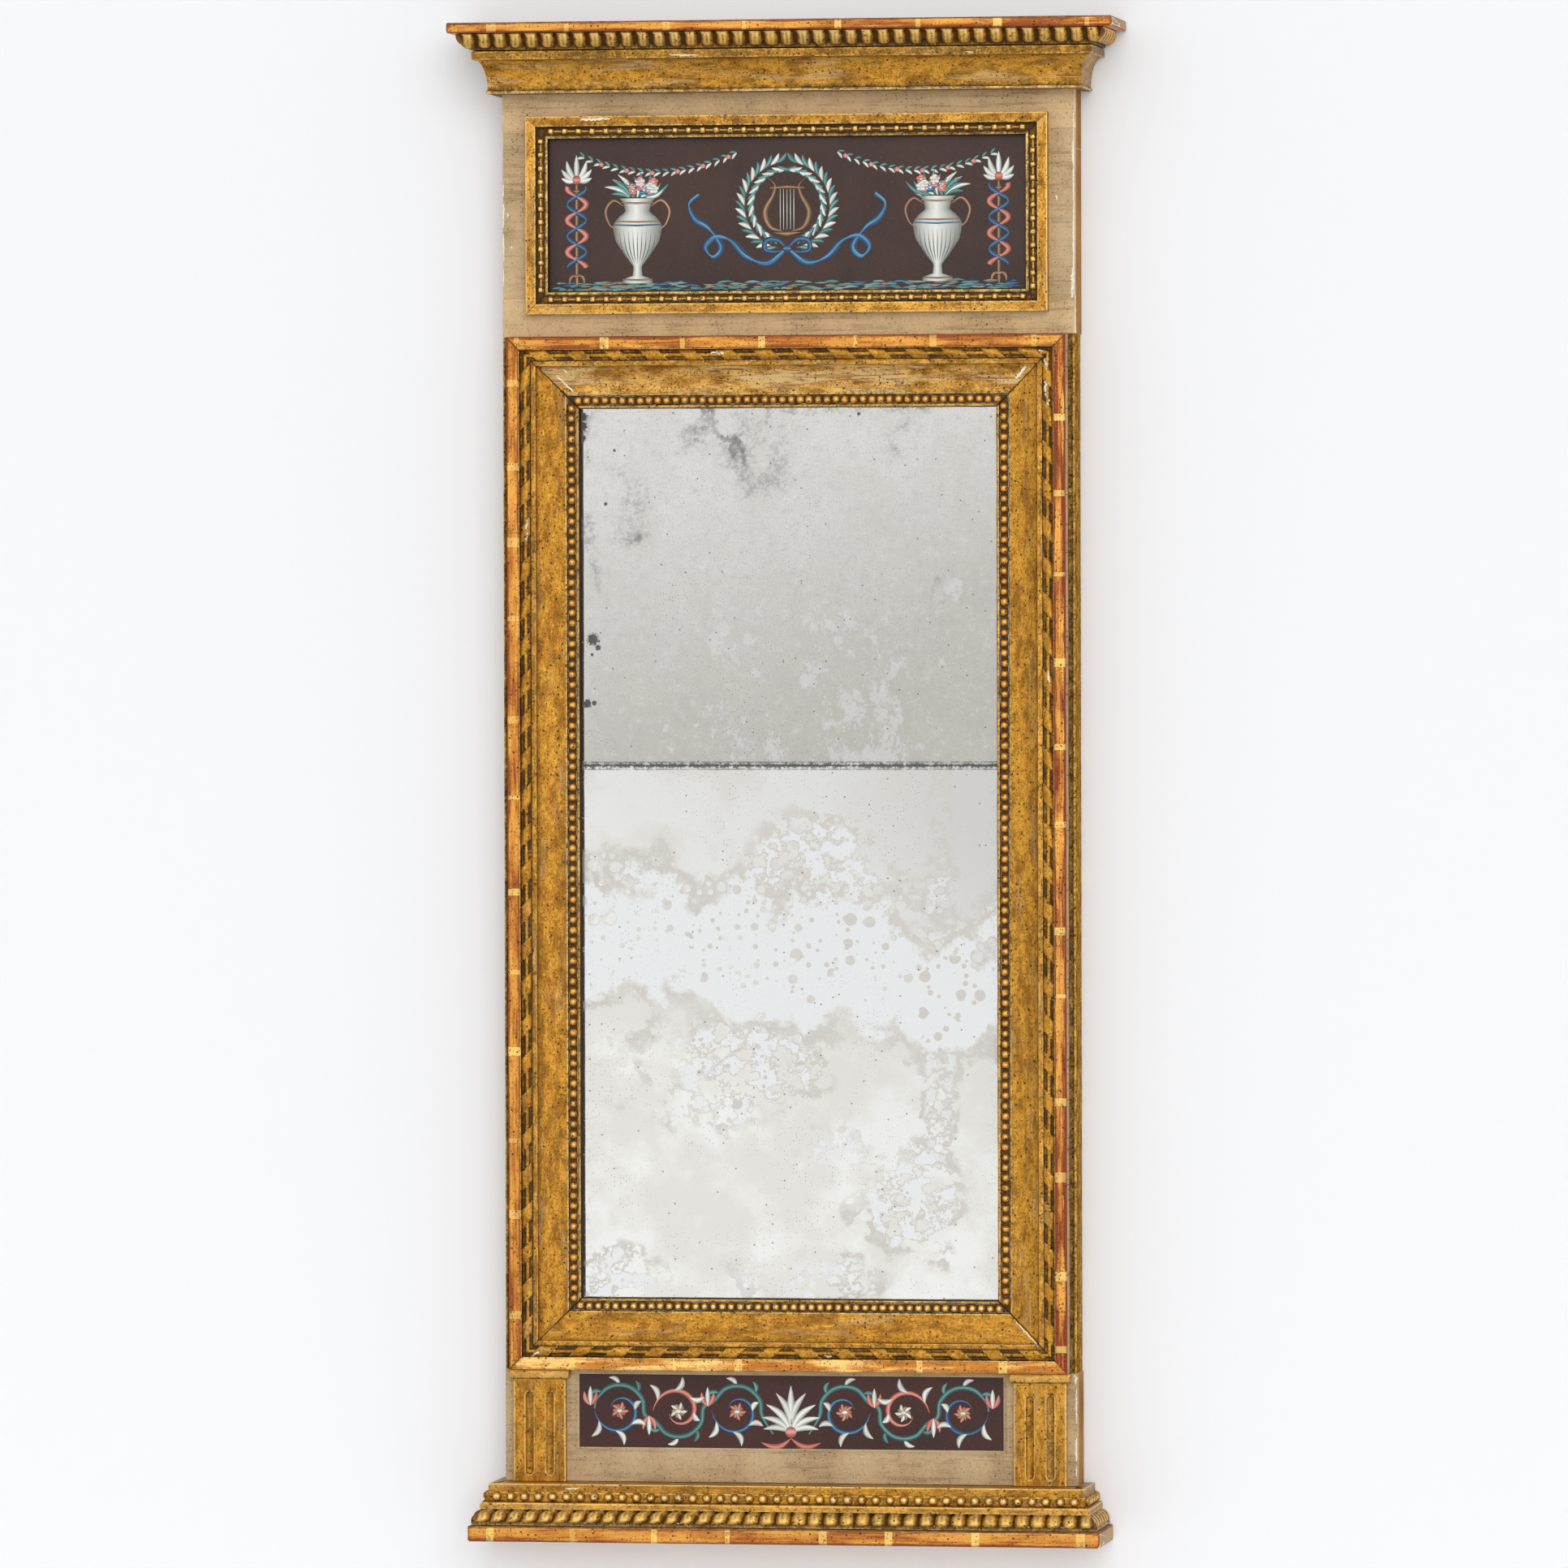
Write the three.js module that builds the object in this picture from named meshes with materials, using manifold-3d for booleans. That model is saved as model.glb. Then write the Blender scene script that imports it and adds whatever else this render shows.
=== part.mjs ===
// A gilded and painted trumeau mirror: a tall wall mirror in a carved frame, with a painted glass
// panel in the frieze above it, another in the plinth below it, and a cornice and a stepped base.
//
// Millimetres. +Z is up, +Y points into the wall, and the wall is the plane y = 0. Heights are
// worked out from the underside of the base, and the whole is then lowered so that the origin is
// the eye of the hanging strap, on the wall plane.
import * as THREE from 'three';
import { mergeVertices } from 'three/addons/utils/BufferGeometryUtils.js';
import Module from 'manifold-3d';

const wasm = await Module();
wasm.setup();

// ---------------------------------------------------------------------------------------------
// Driving dimensions
// ---------------------------------------------------------------------------------------------

const GAP = 0.3; // clearance between pieces that touch

// Heights of the storeys, from the bottom up
const BASE_SLAB_HEIGHT = 16;
const BASE_MOULD_HEIGHT = 41;
const PLINTH_HEIGHT = 111;
const FRAME_HEIGHT = 1023;
const FRIEZE_HEIGHT = 240;
const COVE_HEIGHT = 42;
const OVOLO_HEIGHT = 16.5;
const TOP_SLAB_HEIGHT = 10.5;

// The case: two stiles and four rails, faced by boards and flanked by cheeks
const CASE_HALF_WIDTH = 286;
const CASE_DEPTH = 52;
const FACE_BOARD = 12;
const CHEEK_THICKNESS = 12;
const STILE_WIDTH = 24;
const LAP_DEPTH = 18;
const TOP_RAIL_HEIGHT = 84;
const UPPER_RAIL_HEIGHT = 80;
const LOWER_RAIL_HEIGHT = 70;
const BOTTOM_RAIL_HEIGHT = 44;

// Cornice and base: how far their mouldings stand out from the ground that they are planted on
const CORNICE_GROUND = 14; // the cornice's ground, in front of the face boards
const COVE_FOOT = 11.3;
const COVE_HOLLOW = 10;
const COVE_LIP = 23.5;
const OVOLO_PROJECTION = 37;
const TOP_SLAB_PROJECTION = 45;
const BASE_GROUND = 24; // the base's ground, in front of the face boards
const BASE_TOP_PROJECTION = 11;
const BASE_BEAD_BED = 13;
const BASE_STRIP_PROJECTION = 18.5;
const GADROON_PROJECTION = 26.5;
const BASE_SLAB_PROJECTION = 29;

// The main frame's moulding, across its face from the outer edge to the sight edge
const FRAME_FACE = 70; // from the wall to the face of the outer band
const BAND_WIDTH = 13;
const RIBBON_CHANNEL = 10.7;
const RIBBON_CHANNEL_DEPTH = 6.5;
const FILLET_WIDTH = 5.3;
const FILLET_DROP = 3.5;
const COVE_WIDTH = 29.5;
const COVE_QUIRK = 1.5;
const SIGHT_DROP = 13.5;
const PEARL_CHANNEL = 9.2;
const PEARL_CHANNEL_DEPTH = 3.5;
const SIGHT_FILLET = 3.3;
const REBATE_WIDTH = 6.4;

// Ribbon and stick: a ribbon wound round a thin rod
const RIBBON_PITCH = 37.6;
const RIBBON_FACE = 20;
const RIBBON_SLANT = 0.95; // how far an end leans along the frame, per mm across it
const RIBBON_LEANS = {
  bottom: [1, -1], // the way the windings lean on the near and the far half of each side
  top: [-1, -1],
  left: [-1, -1],
  right: [1, 1],
};
const RIBBON_BED = 1.4;
const RIBBON_RISE = 4.6;
const ROD_RADIUS = 2.3;

// Pearls
const FRAME_PEARL_RADIUS = 4;
const STILE_PEARL_PITCH = 10.1;
const RAIL_PEARL_PITCH = 8.85;
const PEARL_BED = 1.7;
const PICTURE_PEARL_RADIUS = 3.7;
const PICTURE_PEARL_PITCH = 13.8;
const BASE_PEARL_RADIUS = 4;
const BASE_PEARL_PITCH = 14;
const PEARL_SINK = 0.8; // how far a pearl is let into its bed
const PEARL_SIDES = 5;

// Carved runs on the cornice and the base
const LOBE_PITCH = 16;
const GADROON_PITCH = 15.8;
const CARVED_GROOVE_WIDTH = 6;
const CARVED_GROOVE_DEPTH = 5;
const CARVED_SLANT = 0.14; // lean of a groove away from the middle, per mm of height

// The picture frame in the frieze
const PICTURE_SIDE_MARGIN = 25;
const PICTURE_END_MARGIN = 22;
const PICTURE_BAND = 10.5;
const PICTURE_BEAD_BED = 8.5;
const PICTURE_FILLET = 3.5;
const PICTURE_RISE = 12;
const PICTURE_BEAD_DROP = 5.5;
const PICTURE_FILLET_DROP = 4;

// Glass, mirror plates and the boards behind them
const GLASS_THICKNESS = 3;
const GLASS_OVERLAP = 6;
const PLATE_THICKNESS = 4;
const LOWER_PLATE_SIGHT = 527; // sight edge to the joint between the two plates
const BACKBOARD_THICKNESS = 8;
const BACKBOARD_OVERLAP = 18;

// The plinth's window, its pilasters and their caps
const WINDOW_FOOT = 33.5;
const WINDOW_HEAD = 5;
const WINDOW_BEVEL = 4;
const WINDOW_LIP = 5;
const WINDOW_SIDE = 11.6; // from the window to the pilaster beside it
const PILASTER_MARGIN = 9.3; // from the pilaster to the edge of the plinth
const PILASTER_WIDTH = 52.6;
const PILASTER_THICKNESS = 8;
const FLUTE_RADIUS = 4.2;
const FLUTE_DEPTH = 3;
const FLUTE_SPREAD = 10.3;
const FLUTE_HEAD = 10;
const FLUTE_FOOT = 6;
const CAP_HEIGHT = 11;
const CAP_SIDE = 4;
const CAP_FRONT = 5;

// The gilt edge moulding on each flank of the main frame
const EDGE_MOULD_WIDTH = 6.5;
const EDGE_HOLLOW = 1.6;
const EDGE_BEAD = 1.3;
const EDGE_QUIRK = 1.2;
const EDGE_BEAD_FOOT = 14; // from the wall to the foot of the side bead

// The hanging strap, let into the back of the top rail
const STRAP_WIDTH = 22;
const STRAP_LENGTH = 72;
const STRAP_THICKNESS = 2.5;
const STRAP_SINK = 1.2;
const STRAP_HEAD_CLEARANCE = 8; // strap's round head to the top of the rail
const EYE_RADIUS = 4.5;
const HOOK_POCKET_RADIUS = 9;
const HOOK_POCKET_DEPTH = 18;
const NAIL_RADIUS = 1.6;
const NAIL_HEAD_RADIUS = 3.6;
const NAIL_HEAD_THICKNESS = 0.8;
const NAIL_LENGTH = 22;
const NAIL_SPACING = 24;

const SMALL_CHAMFER = 0.7;
const SLAB_CHAMFER = 1.2;

// ---------------------------------------------------------------------------------------------
// Levels and planes that follow from them
// ---------------------------------------------------------------------------------------------

const BASE_LEVEL = BASE_SLAB_HEIGHT;
const PLINTH_LEVEL = BASE_LEVEL + BASE_MOULD_HEIGHT;
const FRAME_LEVEL = PLINTH_LEVEL + PLINTH_HEIGHT;
const FRIEZE_LEVEL = FRAME_LEVEL + FRAME_HEIGHT;
const COVE_LEVEL = FRIEZE_LEVEL + FRIEZE_HEIGHT;
const OVOLO_LEVEL = COVE_LEVEL + COVE_HEIGHT;
const TOP_LEVEL = OVOLO_LEVEL + OVOLO_HEIGHT;
const CASE_TOP = TOP_LEVEL - GAP;

const BACK_PLANE = CASE_DEPTH - FACE_BOARD; // wall to the back of the face boards
const CASE_FRONT = BACK_PLANE - GAP; // wall to the front of the stiles and rails
const CORNICE_FRONT = CASE_DEPTH + CORNICE_GROUND;
const BASE_FRONT = CASE_DEPTH + BASE_GROUND;
const CHEEK_INSIDE = CASE_HALF_WIDTH - CHEEK_THICKNESS + GAP;
const STILE_OUTSIDE = CHEEK_INSIDE - GAP;
const STILE_INSIDE = STILE_OUTSIDE - STILE_WIDTH;
const FRAME_HALF_WIDTH = CASE_HALF_WIDTH - EDGE_MOULD_WIDTH;
const PILASTER_CENTRE = CASE_HALF_WIDTH - PILASTER_MARGIN - PILASTER_WIDTH / 2;
const WINDOW_HALF_WIDTH = PILASTER_CENTRE - PILASTER_WIDTH / 2 - WINDOW_SIDE;

// Distances across the main frame's moulding, from its outer edge
const RIBBON_START = BAND_WIDTH;
const RIBBON_END = RIBBON_START + RIBBON_CHANNEL;
const COVE_START = RIBBON_END + FILLET_WIDTH;
const COVE_END = COVE_START + COVE_WIDTH;
const PEARL_END = COVE_END + PEARL_CHANNEL;
const FRAME_WIDTH = PEARL_END + SIGHT_FILLET;

const SIGHT_HALF_WIDTH = FRAME_HALF_WIDTH - FRAME_WIDTH;
const SIGHT_BOTTOM = FRAME_LEVEL + FRAME_WIDTH;
const SIGHT_TOP = FRIEZE_LEVEL - GAP - FRAME_WIDTH;

const PICTURE_HALF_WIDTH = CASE_HALF_WIDTH - PICTURE_SIDE_MARGIN;
const PICTURE_BOTTOM = FRIEZE_LEVEL + PICTURE_END_MARGIN;
const PICTURE_TOP = COVE_LEVEL - PICTURE_END_MARGIN;
const PICTURE_WIDTH = PICTURE_BAND + PICTURE_BEAD_BED + PICTURE_FILLET;

// The opening in the frieze boards, which the picture frame's sight edge overlaps
const FRIEZE_OPENING = {
  halfWidth: PICTURE_HALF_WIDTH - PICTURE_WIDTH + GLASS_OVERLAP,
  bottom: PICTURE_BOTTOM + PICTURE_WIDTH - GLASS_OVERLAP,
  top: PICTURE_TOP - PICTURE_WIDTH + GLASS_OVERLAP,
};

const WINDOW = {
  bottom: PLINTH_LEVEL + WINDOW_FOOT,
  top: FRAME_LEVEL - WINDOW_HEAD,
};

const STRAP_TOP = CASE_TOP - STRAP_HEAD_CLEARANCE;
const EYE_LEVEL = STRAP_TOP - STRAP_WIDTH / 2;

// The four rails of the case: height of the lower edge, and of the upper edge
const CASE_RAILS = {
  case_rail_bottom: [BASE_LEVEL, BASE_LEVEL + BOTTOM_RAIL_HEIGHT],
  case_rail_lower: [
    SIGHT_BOTTOM - BACKBOARD_OVERLAP - GAP - LOWER_RAIL_HEIGHT,
    SIGHT_BOTTOM - BACKBOARD_OVERLAP - GAP,
  ],
  case_rail_upper: [
    SIGHT_TOP + BACKBOARD_OVERLAP + GAP,
    SIGHT_TOP + BACKBOARD_OVERLAP + GAP + UPPER_RAIL_HEIGHT,
  ],
  case_rail_top: [CASE_TOP - TOP_RAIL_HEIGHT, CASE_TOP],
};

// ---------------------------------------------------------------------------------------------
// Materials
// ---------------------------------------------------------------------------------------------

const MATERIALS = {
  mattGilding: { color: 0xc0913c, roughness: 0.55, metalness: 0.45 },
  burnishedGilding: { color: 0xcf9242, roughness: 0.35, metalness: 0.6 },
  paint: { color: 0xb6a482, roughness: 0.85, metalness: 0 },
  sidePaint: { color: 0xa98c63, roughness: 0.9, metalness: 0 },
  pine: { color: 0xa9805a, roughness: 0.9, metalness: 0 },
  paintedGlass: { color: 0x4a3130, roughness: 0.25, metalness: 0 },
  mirror: { color: 0xd6d8d9, roughness: 0.06, metalness: 0.9 },
  iron: { color: 0x3d3833, roughness: 0.6, metalness: 0.8 },
};

const materials = Object.fromEntries(
  Object.entries(MATERIALS).map(([name, look]) => [name, new THREE.MeshStandardMaterial(look)]),
);

// ---------------------------------------------------------------------------------------------
// Geometry helpers
// ---------------------------------------------------------------------------------------------

// A closed three.js geometry as a solid that can be joined and cut.
function solid(geometry) {
  const bare = geometry.clone();
  bare.deleteAttribute('normal');
  bare.deleteAttribute('uv');
  const merged = mergeVertices(bare, 1e-4);
  const mesh = new wasm.Mesh({
    numProp: 3,
    vertProperties: new Float32Array(merged.attributes.position.array),
    triVerts: new Uint32Array(merged.index.array),
  });
  return new wasm.Manifold(mesh);
}

// A solid back as a flat-shaded three.js geometry.
function geometryOf(body) {
  const mesh = body.getMesh();
  const indexed = new THREE.BufferGeometry();
  indexed.setAttribute('position', new THREE.BufferAttribute(mesh.vertProperties, 3));
  indexed.setIndex(new THREE.BufferAttribute(mesh.triVerts, 1));
  const flat = indexed.toNonIndexed();
  flat.computeVertexNormals();
  return flat;
}

const joined = (bodies) => wasm.Manifold.union(bodies);

const AXES = {
  x: new THREE.Matrix4().set(0, 0, 1, 0, 1, 0, 0, 0, 0, 1, 0, 0, 0, 0, 0, 1), // outline in y, z
  y: new THREE.Matrix4().set(1, 0, 0, 0, 0, 0, -1, 0, 0, 1, 0, 0, 0, 0, 0, 1), // outline in x, z
  z: new THREE.Matrix4(), // outline in x, y
};

// An outline carried along an axis, as a geometry.
function prismGeometry(outline, axis, from, to) {
  const shape = new THREE.Shape(outline.map(([u, v]) => new THREE.Vector2(u, v)));
  const options = { depth: to - from, bevelEnabled: false };
  const geometry = new THREE.ExtrudeGeometry(shape, options);
  geometry.translate(0, 0, axis === 'y' ? -to : from);
  return geometry.applyMatrix4(AXES[axis]);
}

const prism = (outline, axis, from, to) => solid(prismGeometry(outline, axis, from, to));

const rectangle = (u0, v0, u1, v1) => [[u0, v0], [u1, v0], [u1, v1], [u0, v1]];

const block = (x0, x1, y0, y1, z0, z1) => prism(rectangle(x0, y0, x1, y1), 'z', z0, z1);

// Points on an ellipse from one angle to another, in degrees, both ends included.
function arc(u, v, radiusU, radiusV, from, to, steps) {
  return Array.from({ length: steps + 1 }, (_, i) => {
    const angle = THREE.MathUtils.degToRad(from + ((to - from) * i) / steps);
    return [u + radiusU * Math.cos(angle), v + radiusV * Math.sin(angle)];
  });
}

// Where the centres of evenly spaced ornaments lie on a run, kept clear of its mitres.
function evenCentres(from, to, pitch) {
  const endShare = 0.75;
  const count = Math.max(1, Math.round((to - from) / pitch - 2 * endShare + 1));
  const step = (to - from) / (count - 1 + 2 * endShare);
  return Array.from({ length: count }, (_, i) => from + step * (endShare + i));
}

// A slab or board with all its horizontal edges chamfered.
function chamferedSlab(halfWidth, depth, bottom, top) {
  const inset = SLAB_CHAMFER;
  const outline = rectangle(-halfWidth + inset, -depth + inset, halfWidth - inset, -inset);
  const shape = new THREE.Shape(outline.map(([x, y]) => new THREE.Vector2(x, y)));
  const geometry = new THREE.ExtrudeGeometry(shape, {
    depth: top - bottom - 2 * inset,
    bevelThickness: inset,
    bevelSize: inset,
    bevelSegments: 1,
  });
  return geometry.translate(0, 0, bottom + inset);
}

// ---------------------------------------------------------------------------------------------
// The scene graph
// ---------------------------------------------------------------------------------------------

const trumeau = new THREE.Group();
const assembly = new THREE.Group();
assembly.position.z = -EYE_LEVEL;
trumeau.add(assembly);

function addPiece(name, geometry, material) {
  const mesh = new THREE.Mesh(geometry, material);
  mesh.name = name;
  assembly.add(mesh);
  return mesh;
}

// A right-hand piece and its mirror image on the left.
function addPair(name, geometry, material) {
  addPiece(`${name}_right`, geometry, material);
  addPiece(`${name}_left`, geometry, material).scale.x = -1;
}

// ---------------------------------------------------------------------------------------------
// The case
// ---------------------------------------------------------------------------------------------

function caseStile() {
  const stile = block(STILE_INSIDE, STILE_OUTSIDE, -CASE_FRONT, 0, BASE_LEVEL, CASE_TOP);
  const notches = Object.values(CASE_RAILS).map(([bottom, top]) =>
    block(STILE_INSIDE - 1, STILE_OUTSIDE + 1, -LAP_DEPTH, 1, bottom - GAP, top + GAP));
  return geometryOf(stile.subtract(joined(notches)));
}

// A rail whose ends are halved over the stiles.
function caseRail(bottom, top) {
  const shoulder = STILE_INSIDE - GAP;
  const lap = LAP_DEPTH - GAP;
  const outline = [
    [-shoulder, -CASE_FRONT], [shoulder, -CASE_FRONT], [shoulder, -lap], [STILE_OUTSIDE, -lap],
    [STILE_OUTSIDE, 0], [-STILE_OUTSIDE, 0], [-STILE_OUTSIDE, -lap], [-shoulder, -lap],
  ];
  return prism(outline, 'z', bottom, top);
}

// The strap's outline: a straight foot, and a head that is a half circle.
function strapOutline(clearance) {
  const half = STRAP_WIDTH / 2 + clearance;
  const foot = STRAP_TOP - STRAP_LENGTH - clearance;
  return [[-half, foot], [half, foot], ...arc(0, EYE_LEVEL, half, half, 0, 180, 12)];
}

const NAIL_LEVELS = {
  hanger_nail_upper: EYE_LEVEL - STRAP_WIDTH,
  hanger_nail_lower: EYE_LEVEL - STRAP_WIDTH - NAIL_SPACING,
};

const circle = (z, radius, steps) => arc(0, z, radius, radius, 0, 360, steps).slice(0, -1);

// The top rail, cut for the strap, for the wall hook behind the strap's eye and for the nails.
function topRail(bottom, top) {
  const strapBack = STRAP_SINK + STRAP_THICKNESS;
  const nailTip = -STRAP_SINK - NAIL_LENGTH - GAP;
  const cuts = [
    prism(strapOutline(GAP), 'y', -strapBack - GAP, 1),
    prism(circle(EYE_LEVEL, HOOK_POCKET_RADIUS, 16), 'y', -HOOK_POCKET_DEPTH, 0),
    ...Object.values(NAIL_LEVELS).map((level) =>
      prism(circle(level, NAIL_RADIUS + GAP, 10), 'y', nailTip, 0)),
  ];
  return caseRail(bottom, top).subtract(joined(cuts));
}

function hangerStrap() {
  const plate = prism(strapOutline(0), 'y', -STRAP_SINK - STRAP_THICKNESS, -STRAP_SINK);
  const holes = [
    prism(circle(EYE_LEVEL, EYE_RADIUS, 16), 'y', -CASE_FRONT, 0),
    ...Object.values(NAIL_LEVELS).map((level) =>
      prism(circle(level, NAIL_RADIUS + GAP, 10), 'y', -CASE_FRONT, 0)),
  ];
  return geometryOf(plate.subtract(joined(holes)));
}

// A hand-made nail: a flat head and a shank that tapers to a point.
function hangerNail(level) {
  const seat = STRAP_SINK - GAP;
  const profile = [
    [0, -seat - NAIL_LENGTH], [NAIL_RADIUS, -seat - 0.8 * NAIL_LENGTH], [NAIL_RADIUS, -seat],
    [NAIL_HEAD_RADIUS, -seat], [0.8 * NAIL_HEAD_RADIUS, NAIL_HEAD_THICKNESS - seat],
    [0, NAIL_HEAD_THICKNESS - seat],
  ];
  const nail = new THREE.LatheGeometry(profile.map(([r, y]) => new THREE.Vector2(r, y)), 10);
  return geometryOf(solid(nail.translate(0, 0, level)));
}

function addCase() {
  addPair('case_stile', caseStile(), materials.pine);
  for (const [name, [bottom, top]] of Object.entries(CASE_RAILS)) {
    const rail = name === 'case_rail_top' ? topRail(bottom, top) : caseRail(bottom, top);
    addPiece(name, geometryOf(rail), materials.pine);
  }
  const cheek = (bottom, top) =>
    geometryOf(block(CHEEK_INSIDE, CASE_HALF_WIDTH, -CASE_FRONT, 0, bottom, top));
  addPair('frieze_cheek', cheek(FRIEZE_LEVEL, CASE_TOP), materials.sidePaint);
  addPair('plinth_cheek', cheek(BASE_LEVEL, FRAME_LEVEL - GAP), materials.sidePaint);
  addPair('edge_mould', edgeMould(), materials.mattGilding);
  addPiece('hanger_strap', hangerStrap(), materials.iron);
  for (const [name, level] of Object.entries(NAIL_LEVELS)) {
    addPiece(name, hangerNail(level), materials.iron);
  }
}

// The flank of the main frame: a hollow on its face, a quirk, and a flat bead down its side.
function edgeMould() {
  const face = CASE_DEPTH - GAP;
  const hollowStart = FRAME_HALF_WIDTH + GAP;
  const hollowEnd = CASE_HALF_WIDTH - 2 * EDGE_BEAD;
  const hollowMiddle = (hollowStart + hollowEnd) / 2;
  const hollowHalf = (hollowEnd - hollowStart) / 2;
  const beadMiddle = (face - 2 * EDGE_BEAD - EDGE_QUIRK + EDGE_BEAD_FOOT) / 2;
  const beadHalf = beadMiddle - EDGE_BEAD_FOOT;
  const side = CASE_HALF_WIDTH - EDGE_BEAD;
  const outline = [
    [CHEEK_INSIDE, 0], [CHEEK_INSIDE, -face],
    ...arc(hollowMiddle, -face, hollowHalf, EDGE_HOLLOW, 180, 0, 4),
    ...arc(side, EDGE_BEAD - face, EDGE_BEAD, EDGE_BEAD, 270, 360, 3),
    [side, 2 * EDGE_BEAD - face],
    ...arc(side, -EDGE_BEAD_FOOT - beadHalf, EDGE_BEAD, beadHalf, -90, 90, 6),
    [side, 0],
  ];
  return geometryOf(prism(outline, 'z', FRAME_LEVEL, FRIEZE_LEVEL - GAP));
}

// ---------------------------------------------------------------------------------------------
// Mitred frames
// ---------------------------------------------------------------------------------------------

// One side of a frame, lying along X with its outer edge on z = 0, cut to mitres at both ends.
// Across the face, z runs from the outer edge towards the sight edge.
function mitred(body, outerLength, width) {
  const half = outerLength / 2 - GAP / Math.SQRT2;
  const outline = [[-half, 0], [half, 0], [half - width, width], [width - half, width]];
  return body.intersect(prism(outline, 'y', -2 * FRAME_FACE, 0));
}

// Four sides round a rectangle: each is made lying down, for its own length, then turned.
function addFrame(name, bounds, makeSide, material) {
  const { halfWidth, bottom, top } = bounds;
  const middle = (bottom + top) / 2;
  const places = {
    bottom: [0, bottom, 0],
    top: [0, top, Math.PI],
    left: [-halfWidth, middle, Math.PI / 2],
    right: [halfWidth, middle, -Math.PI / 2],
  };
  for (const [side, [x, z, turn]] of Object.entries(places)) {
    const length = isUpright(side) ? top - bottom : 2 * halfWidth;
    const mesh = addPiece(`${name}_${side}`, makeSide(length, side), material);
    mesh.position.set(x, 0, z);
    mesh.rotation.y = turn;
  }
}

const isUpright = (side) => side === 'left' || side === 'right';

// A pearl: a low dome that faces away from the wall, with its bed at y = 0.
function pearl(radius) {
  const profile = [[0, -PEARL_SINK], [radius, -PEARL_SINK], [0.76 * radius, 0.64 * radius],
    [0, radius]];
  const dome = new THREE.LatheGeometry(
    profile.map(([r, y]) => new THREE.Vector2(r, y)), PEARL_SIDES,
  );
  return dome.rotateX(Math.PI);
}

// A row of pearls on a bed whose face is at the given distance from the wall.
function pearlRow(centres, radius, across, bedFace) {
  const dome = pearl(radius);
  return centres.map((x) => solid(dome.clone().translate(x, -bedFace, across)));
}

// ---------------------------------------------------------------------------------------------
// The main frame
// ---------------------------------------------------------------------------------------------

// Distances of the moulding's members from the wall
const RIBBON_FLOOR = FRAME_FACE - RIBBON_CHANNEL_DEPTH;
const FILLET_FACE = FRAME_FACE - FILLET_DROP;
const SIGHT_FACE = FRAME_FACE - SIGHT_DROP;
const PEARL_FLOOR = SIGHT_FACE - PEARL_CHANNEL_DEPTH;
const REBATE_FLOOR = BACK_PLANE + GAP + PLATE_THICKNESS + GAP;

// The moulding's section: distance from the wall, and distance in from the outer edge.
function frameSection() {
  const c = SMALL_CHAMFER;
  const coveDepth = FILLET_FACE - COVE_QUIRK - SIGHT_FACE;
  const cove = arc(SIGHT_FACE + coveDepth, COVE_END, coveDepth, COVE_WIDTH, 270, 180, 8);
  const flank = FRAME_HALF_WIDTH - STILE_OUTSIDE + GAP;
  return [
    [CASE_DEPTH, 0], [FRAME_FACE - c, 0], [FRAME_FACE, c], [FRAME_FACE, BAND_WIDTH - c],
    [FRAME_FACE - c, BAND_WIDTH], [RIBBON_FLOOR, BAND_WIDTH], [RIBBON_FLOOR, RIBBON_END],
    [FILLET_FACE - c, RIBBON_END], [FILLET_FACE, RIBBON_END + c], [FILLET_FACE, COVE_START],
    ...cove,
    [PEARL_FLOOR, COVE_END], [PEARL_FLOOR, PEARL_END], [SIGHT_FACE - c, PEARL_END],
    [SIGHT_FACE, PEARL_END + c], [SIGHT_FACE, FRAME_WIDTH], [REBATE_FLOOR, FRAME_WIDTH],
    [REBATE_FLOOR, FRAME_WIDTH - REBATE_WIDTH], [BACK_PLANE, FRAME_WIDTH - REBATE_WIDTH],
    [BACK_PLANE, flank], [CASE_DEPTH, flank],
  ];
}

// A section given as [distance from the wall, z], carried along X.
const run = (section, from, to) => prism(section.map(([d, z]) => [-d, z]), 'x', from, to);

function frameSide(length) {
  return geometryOf(mitred(run(frameSection(), -length / 2, length / 2), length, FRAME_WIDTH));
}

// Ribbon and stick for one side of the frame.
function ribbonSide(length, side) {
  const from = RIBBON_START + GAP;
  const to = RIBBON_END - GAP;
  const middle = (from + to) / 2;
  const floor = RIBBON_FLOOR + GAP;
  const bedFace = floor + RIBBON_BED;
  const bed = run(rectangle(floor, from, bedFace, to), -length / 2, length / 2);
  const rodSection = arc(bedFace, middle, ROD_RADIUS, ROD_RADIUS, -90, 90, 3);
  const sunk = [[floor + GAP, middle + ROD_RADIUS], [floor + GAP, middle - ROD_RADIUS]];
  const rod = run([...rodSection, ...sunk], -length / 2, length / 2);
  const archHalf = (to - from - SMALL_CHAMFER) / 2;
  const arch = arc(bedFace, middle, RIBBON_RISE, archHalf, -90, 90, 3);
  const foot = [[floor + GAP, middle + archHalf], [floor + GAP, middle - archHalf]];
  const windings = [];
  const perHalf = Math.floor((length / 2 - from) / RIBBON_PITCH);
  for (const [half, lean] of RIBBON_LEANS[side].entries()) {
    const leaning = new THREE.Matrix4().makeShear(0, 0, 0, 0, lean * RIBBON_SLANT, 0);
    for (let i = 0; i < perHalf; i += 1) {
      const centre = (2 * half - 1) * RIBBON_PITCH * (i + 0.5);
      const section = [...arch, ...foot].map(([d, z]) => [-d, z - middle]);
      const winding = prismGeometry(section, 'x', -RIBBON_FACE / 2, RIBBON_FACE / 2);
      winding.applyMatrix4(leaning);
      windings.push(solid(winding.translate(centre, 0, middle)));
    }
  }
  return geometryOf(mitred(joined([bed, rod, ...windings]), length, FRAME_WIDTH));
}

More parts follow.
